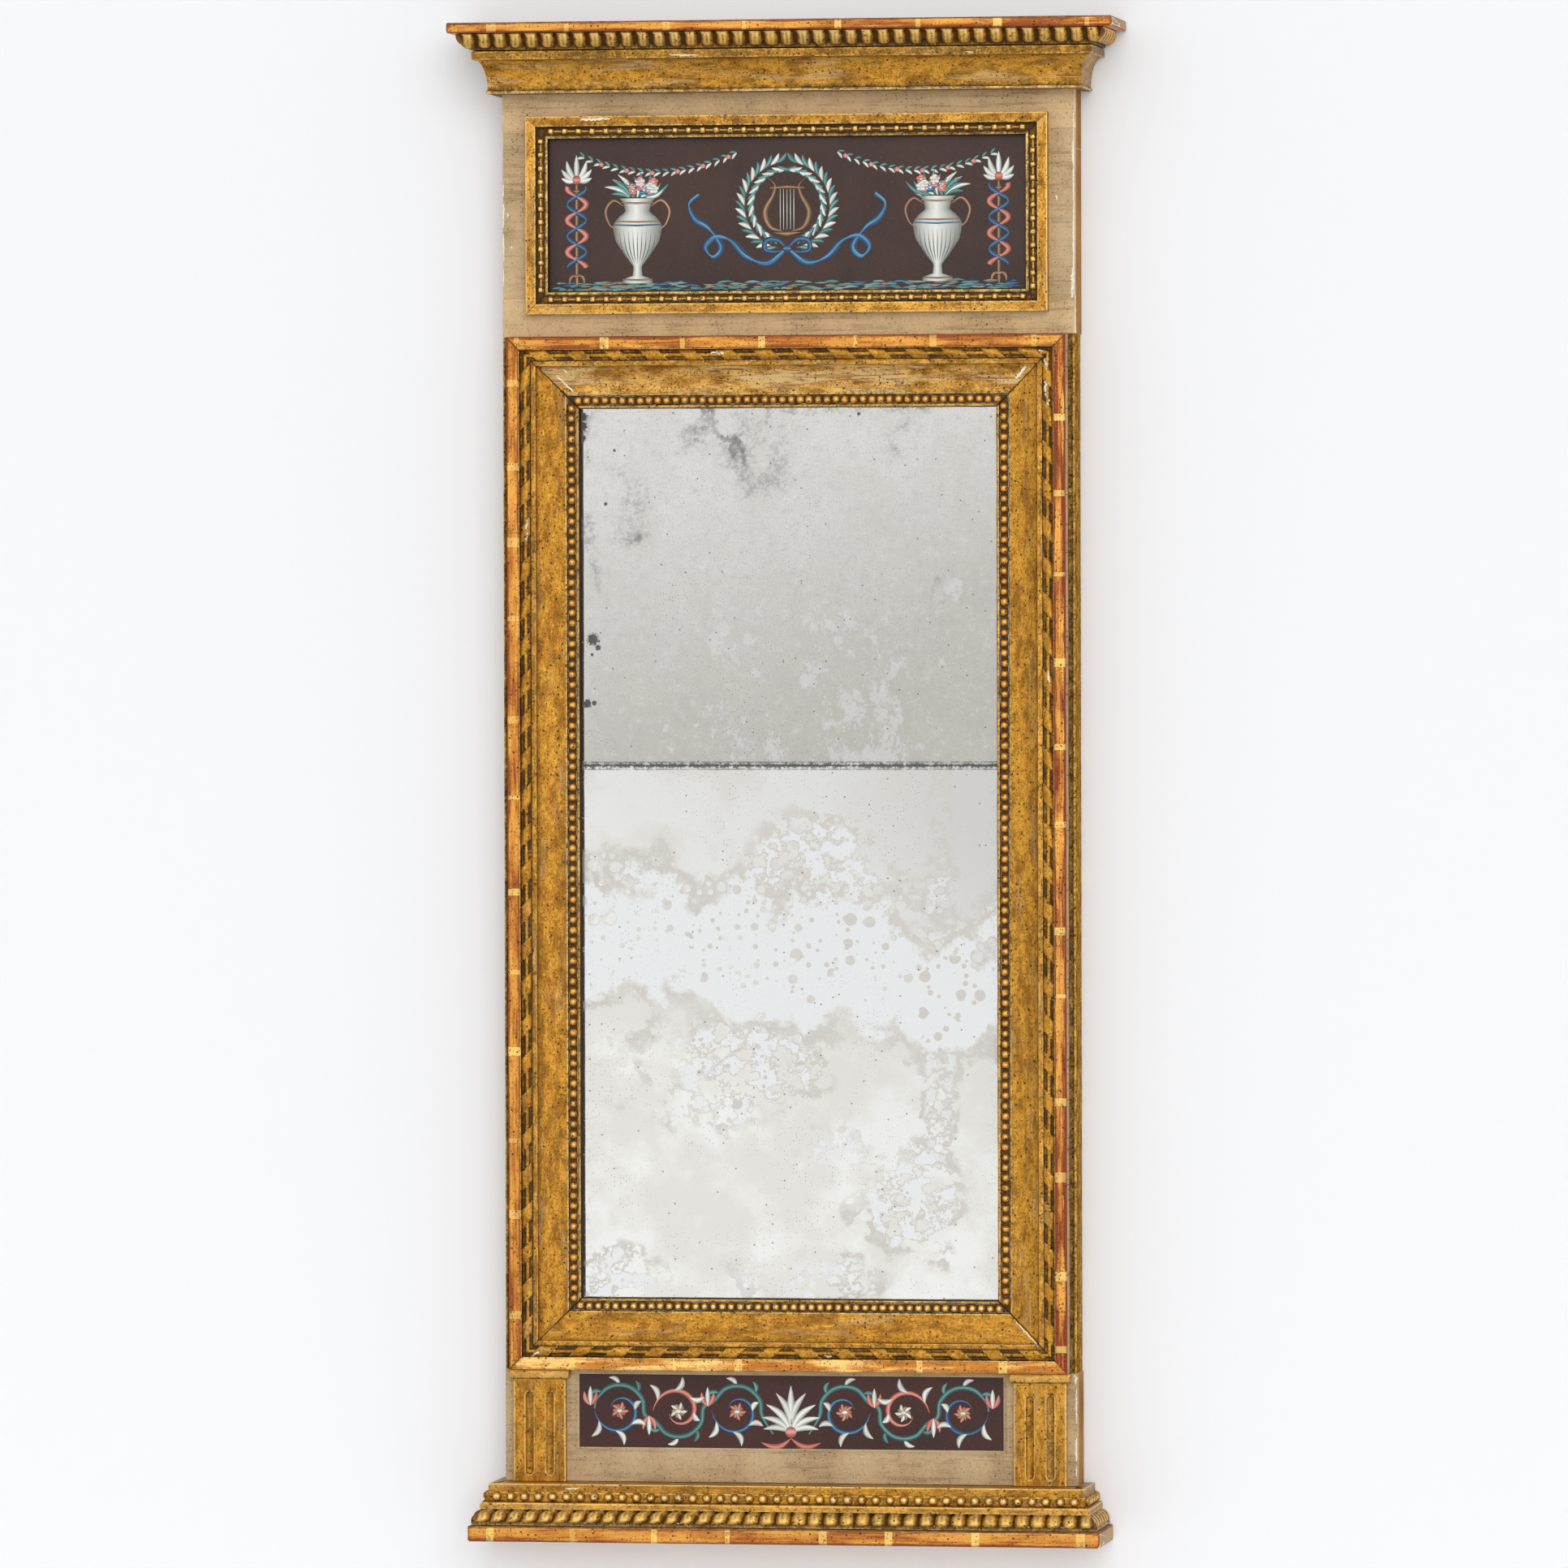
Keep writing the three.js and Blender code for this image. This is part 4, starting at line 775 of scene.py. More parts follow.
class Silvering(Finish):
    """Old tin and mercury silvering on one plate, in the plate's own measures."""

    def __init__(self, name, node, colour):
        super().__init__(name, colour)
        self.low, self.high = corners(node)
        self.point = self.place()
        self.plane = self.flat(self.point, "Z")
        self.side = self.axis(self.point, "X")
        self.height = self.axis(self.point, "Z")
        self.fine = self.noise(self.point, 0.5, 4, 0.8)
        self.grit = self.noise(self.point, 0.22, 6, 0.95)
        self.mid = self.noise(self.point, 0.09, 6, 0.8)
        self.cloud = self.noise(self.point, 0.012, 5, 0.55, 0.4)

    def spot(self, across, down):
        """The place of a point given from the top left corner of what shows."""
        return self.low[0] + REBATE + across, self.high[2] - REBATE - down

    def blots(self, *blots):
        """1 on ragged spots, each with its place and its radius, and 0 beside them."""
        found = []
        for across, down, radius in blots:
            offset = self.node("VectorMath", {
                0: self.plane, 1: (*self.spot(across, down), 0)}, operation="DISTANCE")
            ragged = self.swing(self.fine, 3.0 * radius)
            distance = self.sum(offset.outputs["Value"], ragged, -radius)
            found.append(self.step(distance, 0.4, 0.0))
        return self.most(*found)

    def regions(self, *ovals):
        """1 in the middle of ovals and 0 outside them, softly.

        An oval is its place, its two radii and, where it isn't full, its share.
        """
        found = []
        for across, down, wide, tall, *share in ovals:
            x, z = self.spot(across, down)
            centred = self.node("VectorMath", {0: self.plane, 1: (-x, -z, 0)}, operation="ADD")
            scaled = self.stretch(centred.outputs[0], 1 / wide, 1 / tall, 0)
            reach = self.node("VectorMath", {0: scaled}, operation="LENGTH").outputs["Value"]
            oval = self.step(self.sum(reach, self.swing(self.cloud, 2.2)), 1.0, 0.35)
            found.append(self.times(oval, *share))
        return self.most(*found)

    def close_plate(self, dull, joint):
        """Adds the specks and the eaten edge at the joint, and sets the surface."""
        ragged = self.noise(self.point, 0.16, 5, 0.8)
        edge = self.sum(joint, self.swing(ragged, -15.0))
        line = self.step(self.off(joint, 3.4), 0.75, 0.35)
        rim = self.times(self.step(edge, 7.0, 1.0), self.step(self.grit, 0.5, 0.62))
        thin = self.times(self.specks(self.plane, 0.6, 0.14), self.step(self.cloud, 0.4, 0.62))
        dots = self.specks(self.stretch(self.plane, 0.9, 1, 1), 1.1, 0.02)
        dark = self.most(
            self.step(edge, 2.2, 1.2), self.times(line, self.step(ragged, 0.4, 0.5), 0.9),
            self.times(rim, 0.7), self.times(self.most(thin, dots), 0.85))
        self.cover(tint(46, 44, 42), dark, 0.85)
        dull = self.most(dull, dark)
        return self.close(Metallic=self.blend(dull, 1.0, 0.3),
                          Roughness=self.blend(dull, 0.06, 0.5))


def upper_silvering():
    """Grey and foxed: grainy smudges from the top and the flanks, flakes low on the right."""
    f = Silvering("silvering_upper", "mirror_upper", tint(190, 187, 181))
    slant = f.sum(f.height, f.times(f.side, -0.35), f.swing(f.cloud, 160.0))
    middle = (f.low[2] + f.high[2]) / 2
    f.lay(tint(220, 219, 216), slant, middle - 190, middle + 190)
    f.lay(tint(204, 200, 190), f.noise(f.point, 0.02, 5, 0.7), 0.4, 0.65, 0.3)
    f.lay(tint(172, 170, 164), f.mid, 0.5, 0.68, 0.3)
    f.lay(tint(232, 231, 228), f.mid, 0.48, 0.34, 0.3)
    f.lay(tint(158, 156, 152), f.fine, 0.46, 0.66, 0.25)
    mottle = f.noise(f.stretch(f.point, 1.1, 1, 0.8), 0.036, 7, 0.8)
    flakes = f.regions((285, 325, 90, 75), (200, 330, 150, 60, 0.7), (240, 250, 190, 100, 0.5))
    f.lay(tint(222, 222, 223), f.sum(mottle, f.times(flakes, 0.1)), 0.585, 0.61,
          f.step(flakes, 0.0, 0.4), 0.42)
    vein = f.off(f.noise(f.point, 0.009, 5, 0.6), 0.5)
    smudge = f.step(f.noise(f.point, 0.016, 4, 0.65), 0.4, 0.7)
    smudges = f.regions(
        (120, 16, 130, 45), (52, 92, 34, 48), (322, 36, 38, 30), (190, 50, 80, 50, 0.6),
        (0, 100, 20, 130, 0.6), (175, 0, 220, 12, 0.8), (356, 120, 10, 130, 0.6))
    density = f.times(smudges, f.weigh(f.step(vein, 0.06, 0.0), 0.5, smudge, 0.42))
    grit = f.step(f.sum(f.grit, f.times(density, 0.2)), 0.54, 0.6)
    foxed = f.times(density, f.sum(0.06, grit))
    f.cover(tint(62, 61, 60), foxed, 0.9)
    black = f.blots(
        (11, 228, 5.5), (16, 236, 2.6), (5, 292, 4.0), (12, 291, 2.2), (1, 17, 4.5),
        (1, 29, 3.5), (10, 243, 1.3), (2, 8, 4.0), (278, 6, 1.5), (24, 94, 1.6), (33, 41, 1.2))
    f.cover(tint(44, 42, 41), black, 0.9)
    return f.close_plate(f.most(black, f.times(foxed, 0.6)), f.sum(f.height, -f.low[2]))


def lower_silvering():
    """Bright, veiled with ivory clouds that end in tide marks and round blooms."""
    f = Silvering("silvering_lower", "mirror_lower", tint(240, 240, 236))
    foot, head = f.low[2], f.high[2]
    bloom = f.noise(f.point, 0.013, 6, 0.62)
    waved = f.sum(f.height, f.swing(bloom, -260.0), f.times(f.side, 0.1))
    clear = f.step(f.off(waved, foot + 345), 100, 30)
    mottle = f.noise(f.stretch(f.point, 1, 1, 1.15), 0.06, 5, 0.62)
    patches = f.regions(
        (150, 300, 95, 75), (235, 105, 120, 80, 0.8), (325, 415, 75, 60), (40, 505, 80, 36, 0.9),
        (215, 500, 110, 34, 0.8), (250, 375, 60, 34, 0.8), (35, 305, 50, 40, 0.6),
        (356, 250, 22, 300, 0.7))
    openness = f.most(clear, f.times(f.step(mottle, 0.42, 0.56), patches))
    near = f.times(f.step(waved, foot + 300, foot + 385), f.step(openness, 0.1, 0.5))
    near = f.weigh(near, 0.6, patches, 0.35)
    discs = []
    for scale, radius in ((0.055, 0.3), (0.11, 0.26)):
        spots = f.node("TexVoronoi", {
            "Vector": f.plane, "Scale": scale}, voronoi_dimensions="2D").outputs
        size = f.sum(0.08, f.times(f.axis(spots["Color"], "Y"), radius))
        offset = f.math("SUBTRACT", spots["Distance"], size)
        crowd = f.step(f.sum(near, f.times(f.axis(spots["Color"], "Z"), 0.25)), 0.3, 0.42)
        here = f.times(f.step(f.axis(spots["Color"], "X"), 0.5, 0.48), crowd)
        discs.append(f.times(f.step(offset, 0.06, -0.08), here))
    droplets = f.times(f.specks(f.stretch(f.plane, 1, 0.95, 1), 1.1, 0.5), f.step(bloom, 0.4, 0.6))
    spotted = f.times(f.most(*discs, f.times(droplets, 0.6)), 0.68)
    openness = f.math("SUBTRACT", openness, spotted)
    f.lay(tint(222, 222, 219), f.sum(f.height, f.times(f.side, 0.6)), foot + 80, head + 60)
    corner = f.sum(f.step(f.side, -40, f.high[0]), f.step(f.height, head - 330, head))
    f.lay(tint(192, 190, 187), corner, 1.0, 2.0, 0.5)
    f.lay(tint(232, 233, 235), openness, 0.3, 0.8, 0.8)
    tide = f.times(f.step(openness, 0.0, 0.3), f.step(openness, 0.8, 0.45))
    thick = f.step(f.noise(f.point, 0.012, 4, 0.55), 0.62, 0.4)
    thick = f.sum(0.25, f.times(thick, 0.75))
    f.cover(tint(197, 194, 186), tide, thick, 0.9)
    f.lay(tint(214, 211, 203), openness, 0.4, 0.0, f.step(bloom, 0.4, 0.58), 0.5)
    f.lay(tint(190, 188, 182), f.fine, 0.5, 0.7, 0.12)
    left = f.sum(f.side, -f.low[0] - REBATE)
    right = f.math("SUBTRACT", f.high[0] - REBATE, f.side)
    from_edge = f.math("MINIMUM", right, f.math("MINIMUM", left, 1000.0))
    f.lay(tint(120, 118, 112), from_edge, 16, 0, f.step(f.grit, 0.5, 0.62), 0.3)
    return f.close_plate(f.times(tide, thick, 0.3), f.math("SUBTRACT", head, f.height))


MATT = matt_gilding("matt_gilding")
RUBBED = matt_gilding("rubbed_gilding", 1.0, brown=0.9, gold=tint(228, 178, 94))
COVE_GOLD = matt_gilding("cove_gilding", 0.5, chips=1.0, olive=0.6)
EDGE_GOLD = matt_gilding("edge_gilding", 0.4, chips=0.2, olive=0.2, gold=tint(240, 180, 84),
                         metal=0.0, sheen=0.0)
BRIGHT_GOLD = matt_gilding("bright_gilding", 0.4, olive=0.2, gold=tint(222, 163, 68))
# The crown tones of the pearl and lobe gildings also paint the highlights on their crowns.
PEARL_GOLD = matt_gilding("pearl_gilding", 0.2, tint(232, 178, 104), 0.4, 0.2,
                          gold=tint(214, 152, 62))
PALE_GOLD = matt_gilding("pale_pearl_gilding", 0.5, tint(244, 216, 154), 0.5, 0.2)
LOBE_GOLD = matt_gilding("lobe_gilding", 0.4, tint(236, 200, 122), 0.3, 0.6)
RIBBON_GOLD = matt_gilding("ribbon_gilding", 0.3, tint(234, 186, 100), 0.9, 0.2, 0.3)
BURNISHED = burnished_gilding("burnished_gilding")
WORN_BURNISHED = burnished_gilding("worn_burnished_gilding", 1.2)
BRIGHT_BURNISHED = burnished_gilding("bright_burnished_gilding", 0.4, tint(255, 206, 124))
PAINT_TONES = tint(199, 172, 131), tint(185, 157, 117), tint(139, 114, 79)
# A lighter copy of the beige paint: painted light for the level frieze boards, which the cornice
# and the picture frame shade.
PAINTED_LIGHT_TONES = tint(214, 182, 136), tint(200, 168, 123), tint(150, 122, 82)
SIDE_TONES = tint(176, 130, 78), tint(156, 112, 64), tint(112, 78, 42)
PAINT = paint("grey_beige_paint", PAINT_TONES)
PAINTED_LIGHT_PAINT = paint("beige_paint_painted_lighter", PAINTED_LIGHT_TONES)
SIDE_PAINT = paint("tan_side_paint", SIDE_TONES, -0.8, (0.2, 0.2, 0.008), sheen=0.0)
PINE = old_pine()
IRON = forged_iron()
DARK = dark_rebate()
GESSO_LOSS = bare_gesso()
GROUND = painted_ground("painted_ground", tint(64, 41, 34), tint(52, 34, 29))
PLINTH_GROUND = painted_ground("plinth_ground", tint(66, 32, 25), tint(54, 27, 22))
ORNAMENT = painted_ornament()

# ---------------------------------------------------------------------------------------------
# Mitred frames
# ---------------------------------------------------------------------------------------------

MITRE = GAP / math.sqrt(2)
MITRE_OPENING = 0.012  # how far the frame's old mitres have opened, for each mm past the fillet


def frame_places(low, high):
    """The four sides of a frame whose outer corners are low and high, as (place, length)."""
    middle_x, middle_z = (low[0] + high[0]) / 2, (low[2] + high[2]) / 2
    wide, tall = high[0] - low[0], high[2] - low[2]
    return {
        "bottom": (Place((middle_x, 0, low[2]), (1, 0, 0), (0, 0, 1)), wide),
        "right": (Place((high[0], 0, middle_z), (0, 0, 1), (-1, 0, 0)), tall),
        "top": (Place((middle_x, 0, high[2]), (-1, 0, 0), (0, 0, -1)), wide),
        "left": (Place((low[0], 0, middle_z), (0, 0, -1), (1, 0, 0)), tall),
    }


def mitres(length, opening=0.0):
    """Where a side starts and ends; a mitre may stand open towards the sight edge."""
    half = length / 2 - MITRE
    end = lambda across, depth: half - across - opening * np.clip(across - COVE_START, 0, None)
    return opposite(end), end


def frame_section():
    floor = FRAME_FACE - RIBBON_CHANNEL_DEPTH
    fillet = FRAME_FACE - FILLET_DROP
    sight = FRAME_FACE - SIGHT_DROP
    pearls = sight - PEARL_CHANNEL_DEPTH
    hollow = fillet - COVE_QUIRK - sight
    rebate = -corners("mirror_lower")[0][1] + GAP
    back = -corners("frame_left")[1][1]
    flank = FRAME_HIGH[0] - corners("case_stile_right")[1][0] + GAP
    cove = arc(sight + hollow, COVE_END, hollow, COVE, 270, 180, 16)
    return Section([
        (FACE, 0, "flank"), (FRAME_FACE, 0, "band"), (FRAME_FACE, BAND, "wall"),
        (floor, BAND, "floor"), (floor, RIBBON_END, "wall"), (fillet, RIBBON_END, "fillet"),
        (fillet, COVE_START, "wall"), *[(d, z, "cove") for d, z in cove],
        (sight, COVE_END, "wall"), (pearls, COVE_END, "floor"), (pearls, PEARL_END, "wall"),
        (sight, PEARL_END, "fillet"), (sight, FRAME_WIDTH, "inside"),
        (rebate, FRAME_WIDTH, "inside"), (rebate, FRAME_WIDTH - REBATE, "inside"),
        (back, FRAME_WIDTH - REBATE, "back"), (back, flank, "back"), (FACE, flank, "back"),
    ], soil_and_shade={"floor": 0.6, "wall": 0.3})


FRAME_FINISHES = {
    "flank": 2, "band": 1, "wall": 0, "floor": 0, "fillet": 5, "cove": 0, "inside": 3,
    "back": 4, "end": 4,
}


def ribbon_relief(length, leans):
    """Ribbon wound round a stick: faces that lean one way, and the stick between them."""
    middle = (RIBBON_START + RIBBON_END) / 2
    half_width = (RIBBON_CHANNEL - 2 * GAP) / 2
    per_half = math.floor((length / 2 - RIBBON_START) / RIBBON_PITCH)
    edge_height, crown_height, twist_height = 1.2, 3.4, 0.8
    bevel, rim_inset, rim_width = 2.2, 1.2, 0.9

    def relief(x, section):
        _, top = section.span("top")
        across = (section.across - middle)[None, :]
        lean = np.where(x < 0, leans[0], leans[1])
        shifted = x - lean * RIBBON_SLANT * across
        cell = np.floor(np.abs(shifted) / RIBBON_PITCH)
        inside = cell < per_half
        offset = np.abs(shifted) - (cell + 0.5) * RIBBON_PITCH
        reach = RIBBON_FACE / 2 + 0.9 * np.sin(cell * 2.3 + np.sign(shifted))
        edge = np.clip((reach - np.abs(offset)) / bevel, 0, 1)
        edge = edge * edge * (3 - 2 * edge) * inside
        crown = np.sqrt(np.clip(1 - (across / (half_width + 0.2)) ** 2, 0, 1))
        twist = twist_height * (across / half_width) * np.sin(math.pi * offset / RIBBON_FACE)
        face = edge_height + crown_height * crown + twist
        stick = np.sqrt(np.clip(ROD_RADIUS ** 2 - across ** 2, 0, None)) + 0.15 * np.sin(x * 1.7)
        height = np.maximum(face * edge, stick) * top
        rim = np.exp(-((np.abs(offset) - reach + rim_inset) / rim_width) ** 2) * inside * top
        wear = (0.8 * rim + 0.25 * edge * crown) * top
        dirt = (1 - edge) * (0.85 - 0.85 * stick / ROD_RADIUS) * top
        return height, wear, dirt

    return relief


def strip_section(start, end, floor, face, fine=None):
    """A flat strip; its face may be fine enough to be carved."""
    return Section([
        (floor, start, "side"), (face, start, "top"), (face, end, "side"), (floor, end, "side"),
    ], ease=0.1, fine={"top": fine}, soil_and_shade={"side": 0.6})


def build_main_frame():
    section = frame_section()
    section.wear[[kind == "fillet" for kind in section.finish]] *= 0.5
    floor = FRAME_FACE - RIBBON_CHANNEL_DEPTH + GAP
    ribbon = strip_section(RIBBON_START + GAP, RIBBON_END - GAP, floor, floor + RIBBON_BED, 0.65)
    ribbon.wear *= 0
    pearl_floor = FRAME_FACE - SIGHT_DROP - PEARL_CHANNEL_DEPTH + GAP
    bed = pearl_floor + PEARL_BED
    strip = strip_section(COVE_END + GAP, PEARL_END - GAP, pearl_floor, bed)
    # The bed under the pearls is made dark all over: painted shade in the gaps between the pearls,
    # with grime.
    strip.dirt = strip.dirt * 0 + 1.1
    plain = {"top": 0, "side": 0, "end": 0}
    middle = (COVE_END + PEARL_END) / 2
    for side, (place, length) in frame_places(FRAME_LOW, FRAME_HIGH).items():
        ends = mitres(length, MITRE_OPENING)
        gold = RUBBED if side == "top" else MATT
        band = {"right": WORN_BURNISHED, "bottom": BRIGHT_BURNISHED}.get(side, BURNISHED)
        Shell().sweep(
            section, place, *ends, FRAME_FINISHES, seed=side, uneven=0.2, joint=0.7
        ).show(f"carved_frame_{side}", [gold, band, PAINT, DARK, PINE, BRIGHT_GOLD],
               [f"frame_{side}"], "matt_gilding")

        relief = ribbon_relief(length, RIBBON_LEANS[side])
        Shell().sweep(
            ribbon, place, *ends, plain, step=1.3, relief=relief, seed=f"ribbon{side}", uneven=0.1
        ).show(f"carved_ribbon_{side}", [RIBBON_GOLD], [f"ribbon_{side}"], "burnished_gilding")

        shell = Shell().sweep(strip, place, *ends, plain, seed=f"strip{side}", uneven=0.05)
        pitch = STILE_PEARLS if side in ("left", "right") else RAIL_PEARLS
        chance = random.Random(f"pearls {side}")
        for x in even_centres(middle - length / 2, length / 2 - middle, pitch):
            shell.pearl(place, x, middle, bed, PEARL_RADIUS, 0, chance, 0.3, 0.04)
        material = PALE_GOLD if side == "bottom" else PEARL_GOLD
        shell.show(f"carved_pearls_{side}", [material], [f"pearls_{side}"], "matt_gilding")


def picture_section():
    back = FACE + GAP
    face = FACE + PICTURE_RISE
    bed = face - PICTURE_BED_DROP
    bed_end = PICTURE_BAND + PICTURE_BED
    sight = face - PICTURE_FILLET_DROP
    return Section([
        (back, 0, "side"), (face, 0, "band"), (face, PICTURE_BAND, "wall"),
        (bed, PICTURE_BAND, "floor"), (bed, bed_end, "wall"), (sight, bed_end, "fillet"),
        (sight, PICTURE_WIDTH, "inside"), (back, PICTURE_WIDTH, "inside"),
    ], soil_and_shade={"floor": 0.3, "wall": 0.2})


def build_picture_frame():
    """The picture's frame, with a row of pearls on a thin link."""
    low, high = corners("picture_frame_bottom")[0], corners("picture_frame_top")[1]
    section = picture_section()
    finishes = {"side": 0, "band": 0, "wall": 0, "floor": 0, "fillet": 0, "inside": 1, "end": 1}
    bed = FACE + PICTURE_RISE - PICTURE_BED_DROP
    middle = PICTURE_BAND + PICTURE_BED / 2
    link = Section([
        (bed + rise, across, "top")
        for rise, across in ((-0.4, -1.1), (0.9, -1.1), (1.5, 0), (0.9, 1.1), (-0.4, 1.1))
    ], ease=0.2)
    link.wear *= 0.3
    for side, (place, length) in frame_places(low, high).items():
        # The top side is made a little darker all over.
        darkening = lambda x, part: (0, 0, 0.15 if side == "top" else 0)
        shell = Shell().sweep(section, place, *mitres(length), finishes, relief=darkening,
                              seed=f"picture{side}", uneven=0.12)
        chance = random.Random(f"picture pearls {side}")
        centres = even_centres(middle - length / 2, length / 2 - middle, PICTURE_PEARLS)
        origin = place(np.array(0.0), np.array(middle), np.array(0.0))
        shell.sweep(link, Place(origin, place.along, place.across), flush(centres[0]),
                    flush(centres[-1]), {"top": 0, "end": 0}, seed=f"link{side}", uneven=0.1)
        for x in centres:
            shell.pearl(place, x, middle, bed, PICTURE_PEARL_RADIUS, 2, chance, 0.4, 0.08)
        shell.show(f"carved_picture_frame_{side}", [BRIGHT_GOLD, DARK, PALE_GOLD],
                   [f"picture_frame_{side}"], "matt_gilding")


# ---------------------------------------------------------------------------------------------
# Boards
# ---------------------------------------------------------------------------------------------

LEVEL = Place((0, 0, 0), (1, 0, 0), (0, 0, 1))
UPRIGHT = Place((0, 0, 0), (0, 0, 1), (-1, 0, 0))


def plank(shell, low, high, place, finishes, eased=0.8, ends=True, arrises=None, seed=""):
    """A board swept along its place, LEVEL or UPRIGHT.

    finishes may tell the top of a level board from its face. arrises gives a factor for the
    wear at each point of the section.
    """
    finishes = {"top": finishes["face"], **finishes}
    if place is LEVEL:
        across, along = (low[2], high[2]), (low[0], high[0])
    else:
        across, along = (-high[0], -low[0]), (low[2], high[2])
    section = Section([
        (-high[1], across[0], "back"), (-low[1], across[0], "face"), (-low[1], across[1], "top"),
        (-high[1], across[1], "back"),
    ], ease=eased)
    if arrises:
        section.wear = section.wear * arrises(section)
    return shell.sweep(section, place, flush(along[0]), flush(along[1]), finishes,
                       eased=eased if ends else 0.0, seed=seed, uneven=0.1)


def build_frieze_boards():
    """The level boards get a lighter copy of the paint, painted light against the shade that the
    cornice and the picture frame cast on them, and the upright ones are worn at their outer edges.
    """
    shell = Shell()
    names = "bottom", "top", "left", "right"
    for name in names:
        low, high = corners(f"frieze_board_{name}")
        if name in ("bottom", "top"):
            # Finish 1 is the lighter paint, painted light against the shade on these boards.
            plank(shell, low, high, LEVEL, {"face": 1, "back": 1, "end": 1},
                  arrises=lambda section: 0.0, seed=name)
        else:
            low[2] -= GAP
            high[2] += GAP
            outer, worn = (-CASE_HALF, 1.7) if name == "right" else (CASE_HALF, 1.2)
            plank(shell, low, high, UPRIGHT, {"face": 0, "back": 0, "end": 0}, ends=False,
                  seed=name, arrises=lambda section: worn * (np.abs(section.across - outer) < 6))
    shell.show("painted_frieze_boards", [PAINT, PAINTED_LIGHT_PAINT],
               [f"frieze_board_{name}" for name in names], "paint")


def build_slabs():
    for node in ("top_slab", "base_slab"):
        name = f"gilded_{node}"
        finishes = {"face": 0, "back": 0, "end": 1, "top": 2}
        plank(Shell(), *corners(node), LEVEL, finishes, eased=1.6, seed=name).show(
            name, [BURNISHED, SIDE_PAINT, PINE], [node], "burnished_gilding")


def build_cheeks():
    for part in ("frieze", "plinth"):
        for hand in ("left", "right"):
            node = f"{part}_cheek_{hand}"
            finishes = {"face": 0, "back": 0, "end": 0}
            plank(Shell(), *corners(node), UPRIGHT, finishes, seed=node).show(
                f"painted_{node}", [SIDE_PAINT], [node], "side_paint")


# ---------------------------------------------------------------------------------------------
# Cornice and base
# ---------------------------------------------------------------------------------------------


def lobes(pitch, share_wide, depth, lean, first, curl=0.0, upright=0.1, full=2.2):
    """A carved row of lobes, with deep cuts between them, a painted highlight on each crown and
    painted shade in the cuts.

    lean shifts the cuts along the run over the carved height and curl bends them to an S. Both
    are full on the left of the row; upright is the share of them on its right. The higher full
    is, the flatter the lobes are.
    """

    def relief(x, section):
        share, carved = section.span("carved")
        middle = share - 0.5
        bend = lean * middle + curl * np.sin(math.tau * share)
        shifted = x - bend * np.clip(-x / 60, upright, 1)
        phase = (shifted - first) / pitch
        cell = np.round(phase)
        wobble = 1 + 0.05 * np.sin(cell * 12.9898)
        u = np.abs(phase - cell) * 2 / (share_wide * wobble)
        v = np.clip(-2 * middle, 0, 1.2) * (1.02 + 0.04 * np.sin(cell * 7.1))
        rim = (u ** 3.2 + v ** 5) ** (1 / 3.2)
        bulge = np.sqrt(np.clip(1 - rim ** full, 0, 1))
        lift = -depth * (1 - bulge) * carved
        # The pale wear on each crown is a painted highlight with rubbed gold; the dirt in the cuts
        # is painted shade between the lobes, with grime.
        wear = 0.62 * np.exp(-((rim - 0.3) / 0.32) ** 2) * carved
        dirt = np.clip(1.25 - 2.4 * bulge, 0, 1.1) * carved
        return lift, wear, dirt

    return relief


def planted(name, node, points, ground, backing, finishes, materials, relief=None, soil_and_shade=None,
            step=9.0, darkening=1.0, pearls=None):
    """A moulding planted round the case: its front and its two returns, mitred in plan.

    points are its outline, out from the ground that it is planted on.
    """

    def section(outward, back):
        outline = [(outward + depth, z, kind) for depth, z, kind in points]
        made = Section([(back, points[0][1], "back"), *outline, (back, points[-1][1], "back")],
                       soil_and_shade=soil_and_shade, fine={"carved": CARVING_STEP})
        # darkening scales the section's dirt: grime and patina, with the painted shade of its under
        # faces.
        made.dirt *= darkening
        return made

    def piece(hand, seed, part, section, place, *ends):
        shell = Shell().sweep(section, place, *ends, finishes, step=step, relief=relief, seed=seed)
        if pearls:
            pearls(shell, place, hand)
        shell.show(f"{name}_{part}", materials, [f"{node}_{part}"], "matt_gilding")

    corner = lambda across, depth: CASE_HALF + np.clip(depth - ground, 0, None)
    tip = lambda across, depth: ground + np.clip(depth, 0, None) - GAP * math.sqrt(2)
    piece("front", name, "front", section(ground, backing), LEVEL, opposite(corner), corner)
    returns = {"right": (1, opposite(tip), flush(0.0)), "left": (-1, flush(0.0), tip)}
    for hand, (sign, *ends) in returns.items():
        place = Place((sign * CASE_HALF, 0, 0), (0, sign, 0), (0, 0, 1))
        piece(hand, f"{name}{hand}", f"return_{hand}", section(0, GAP), place, *ends)


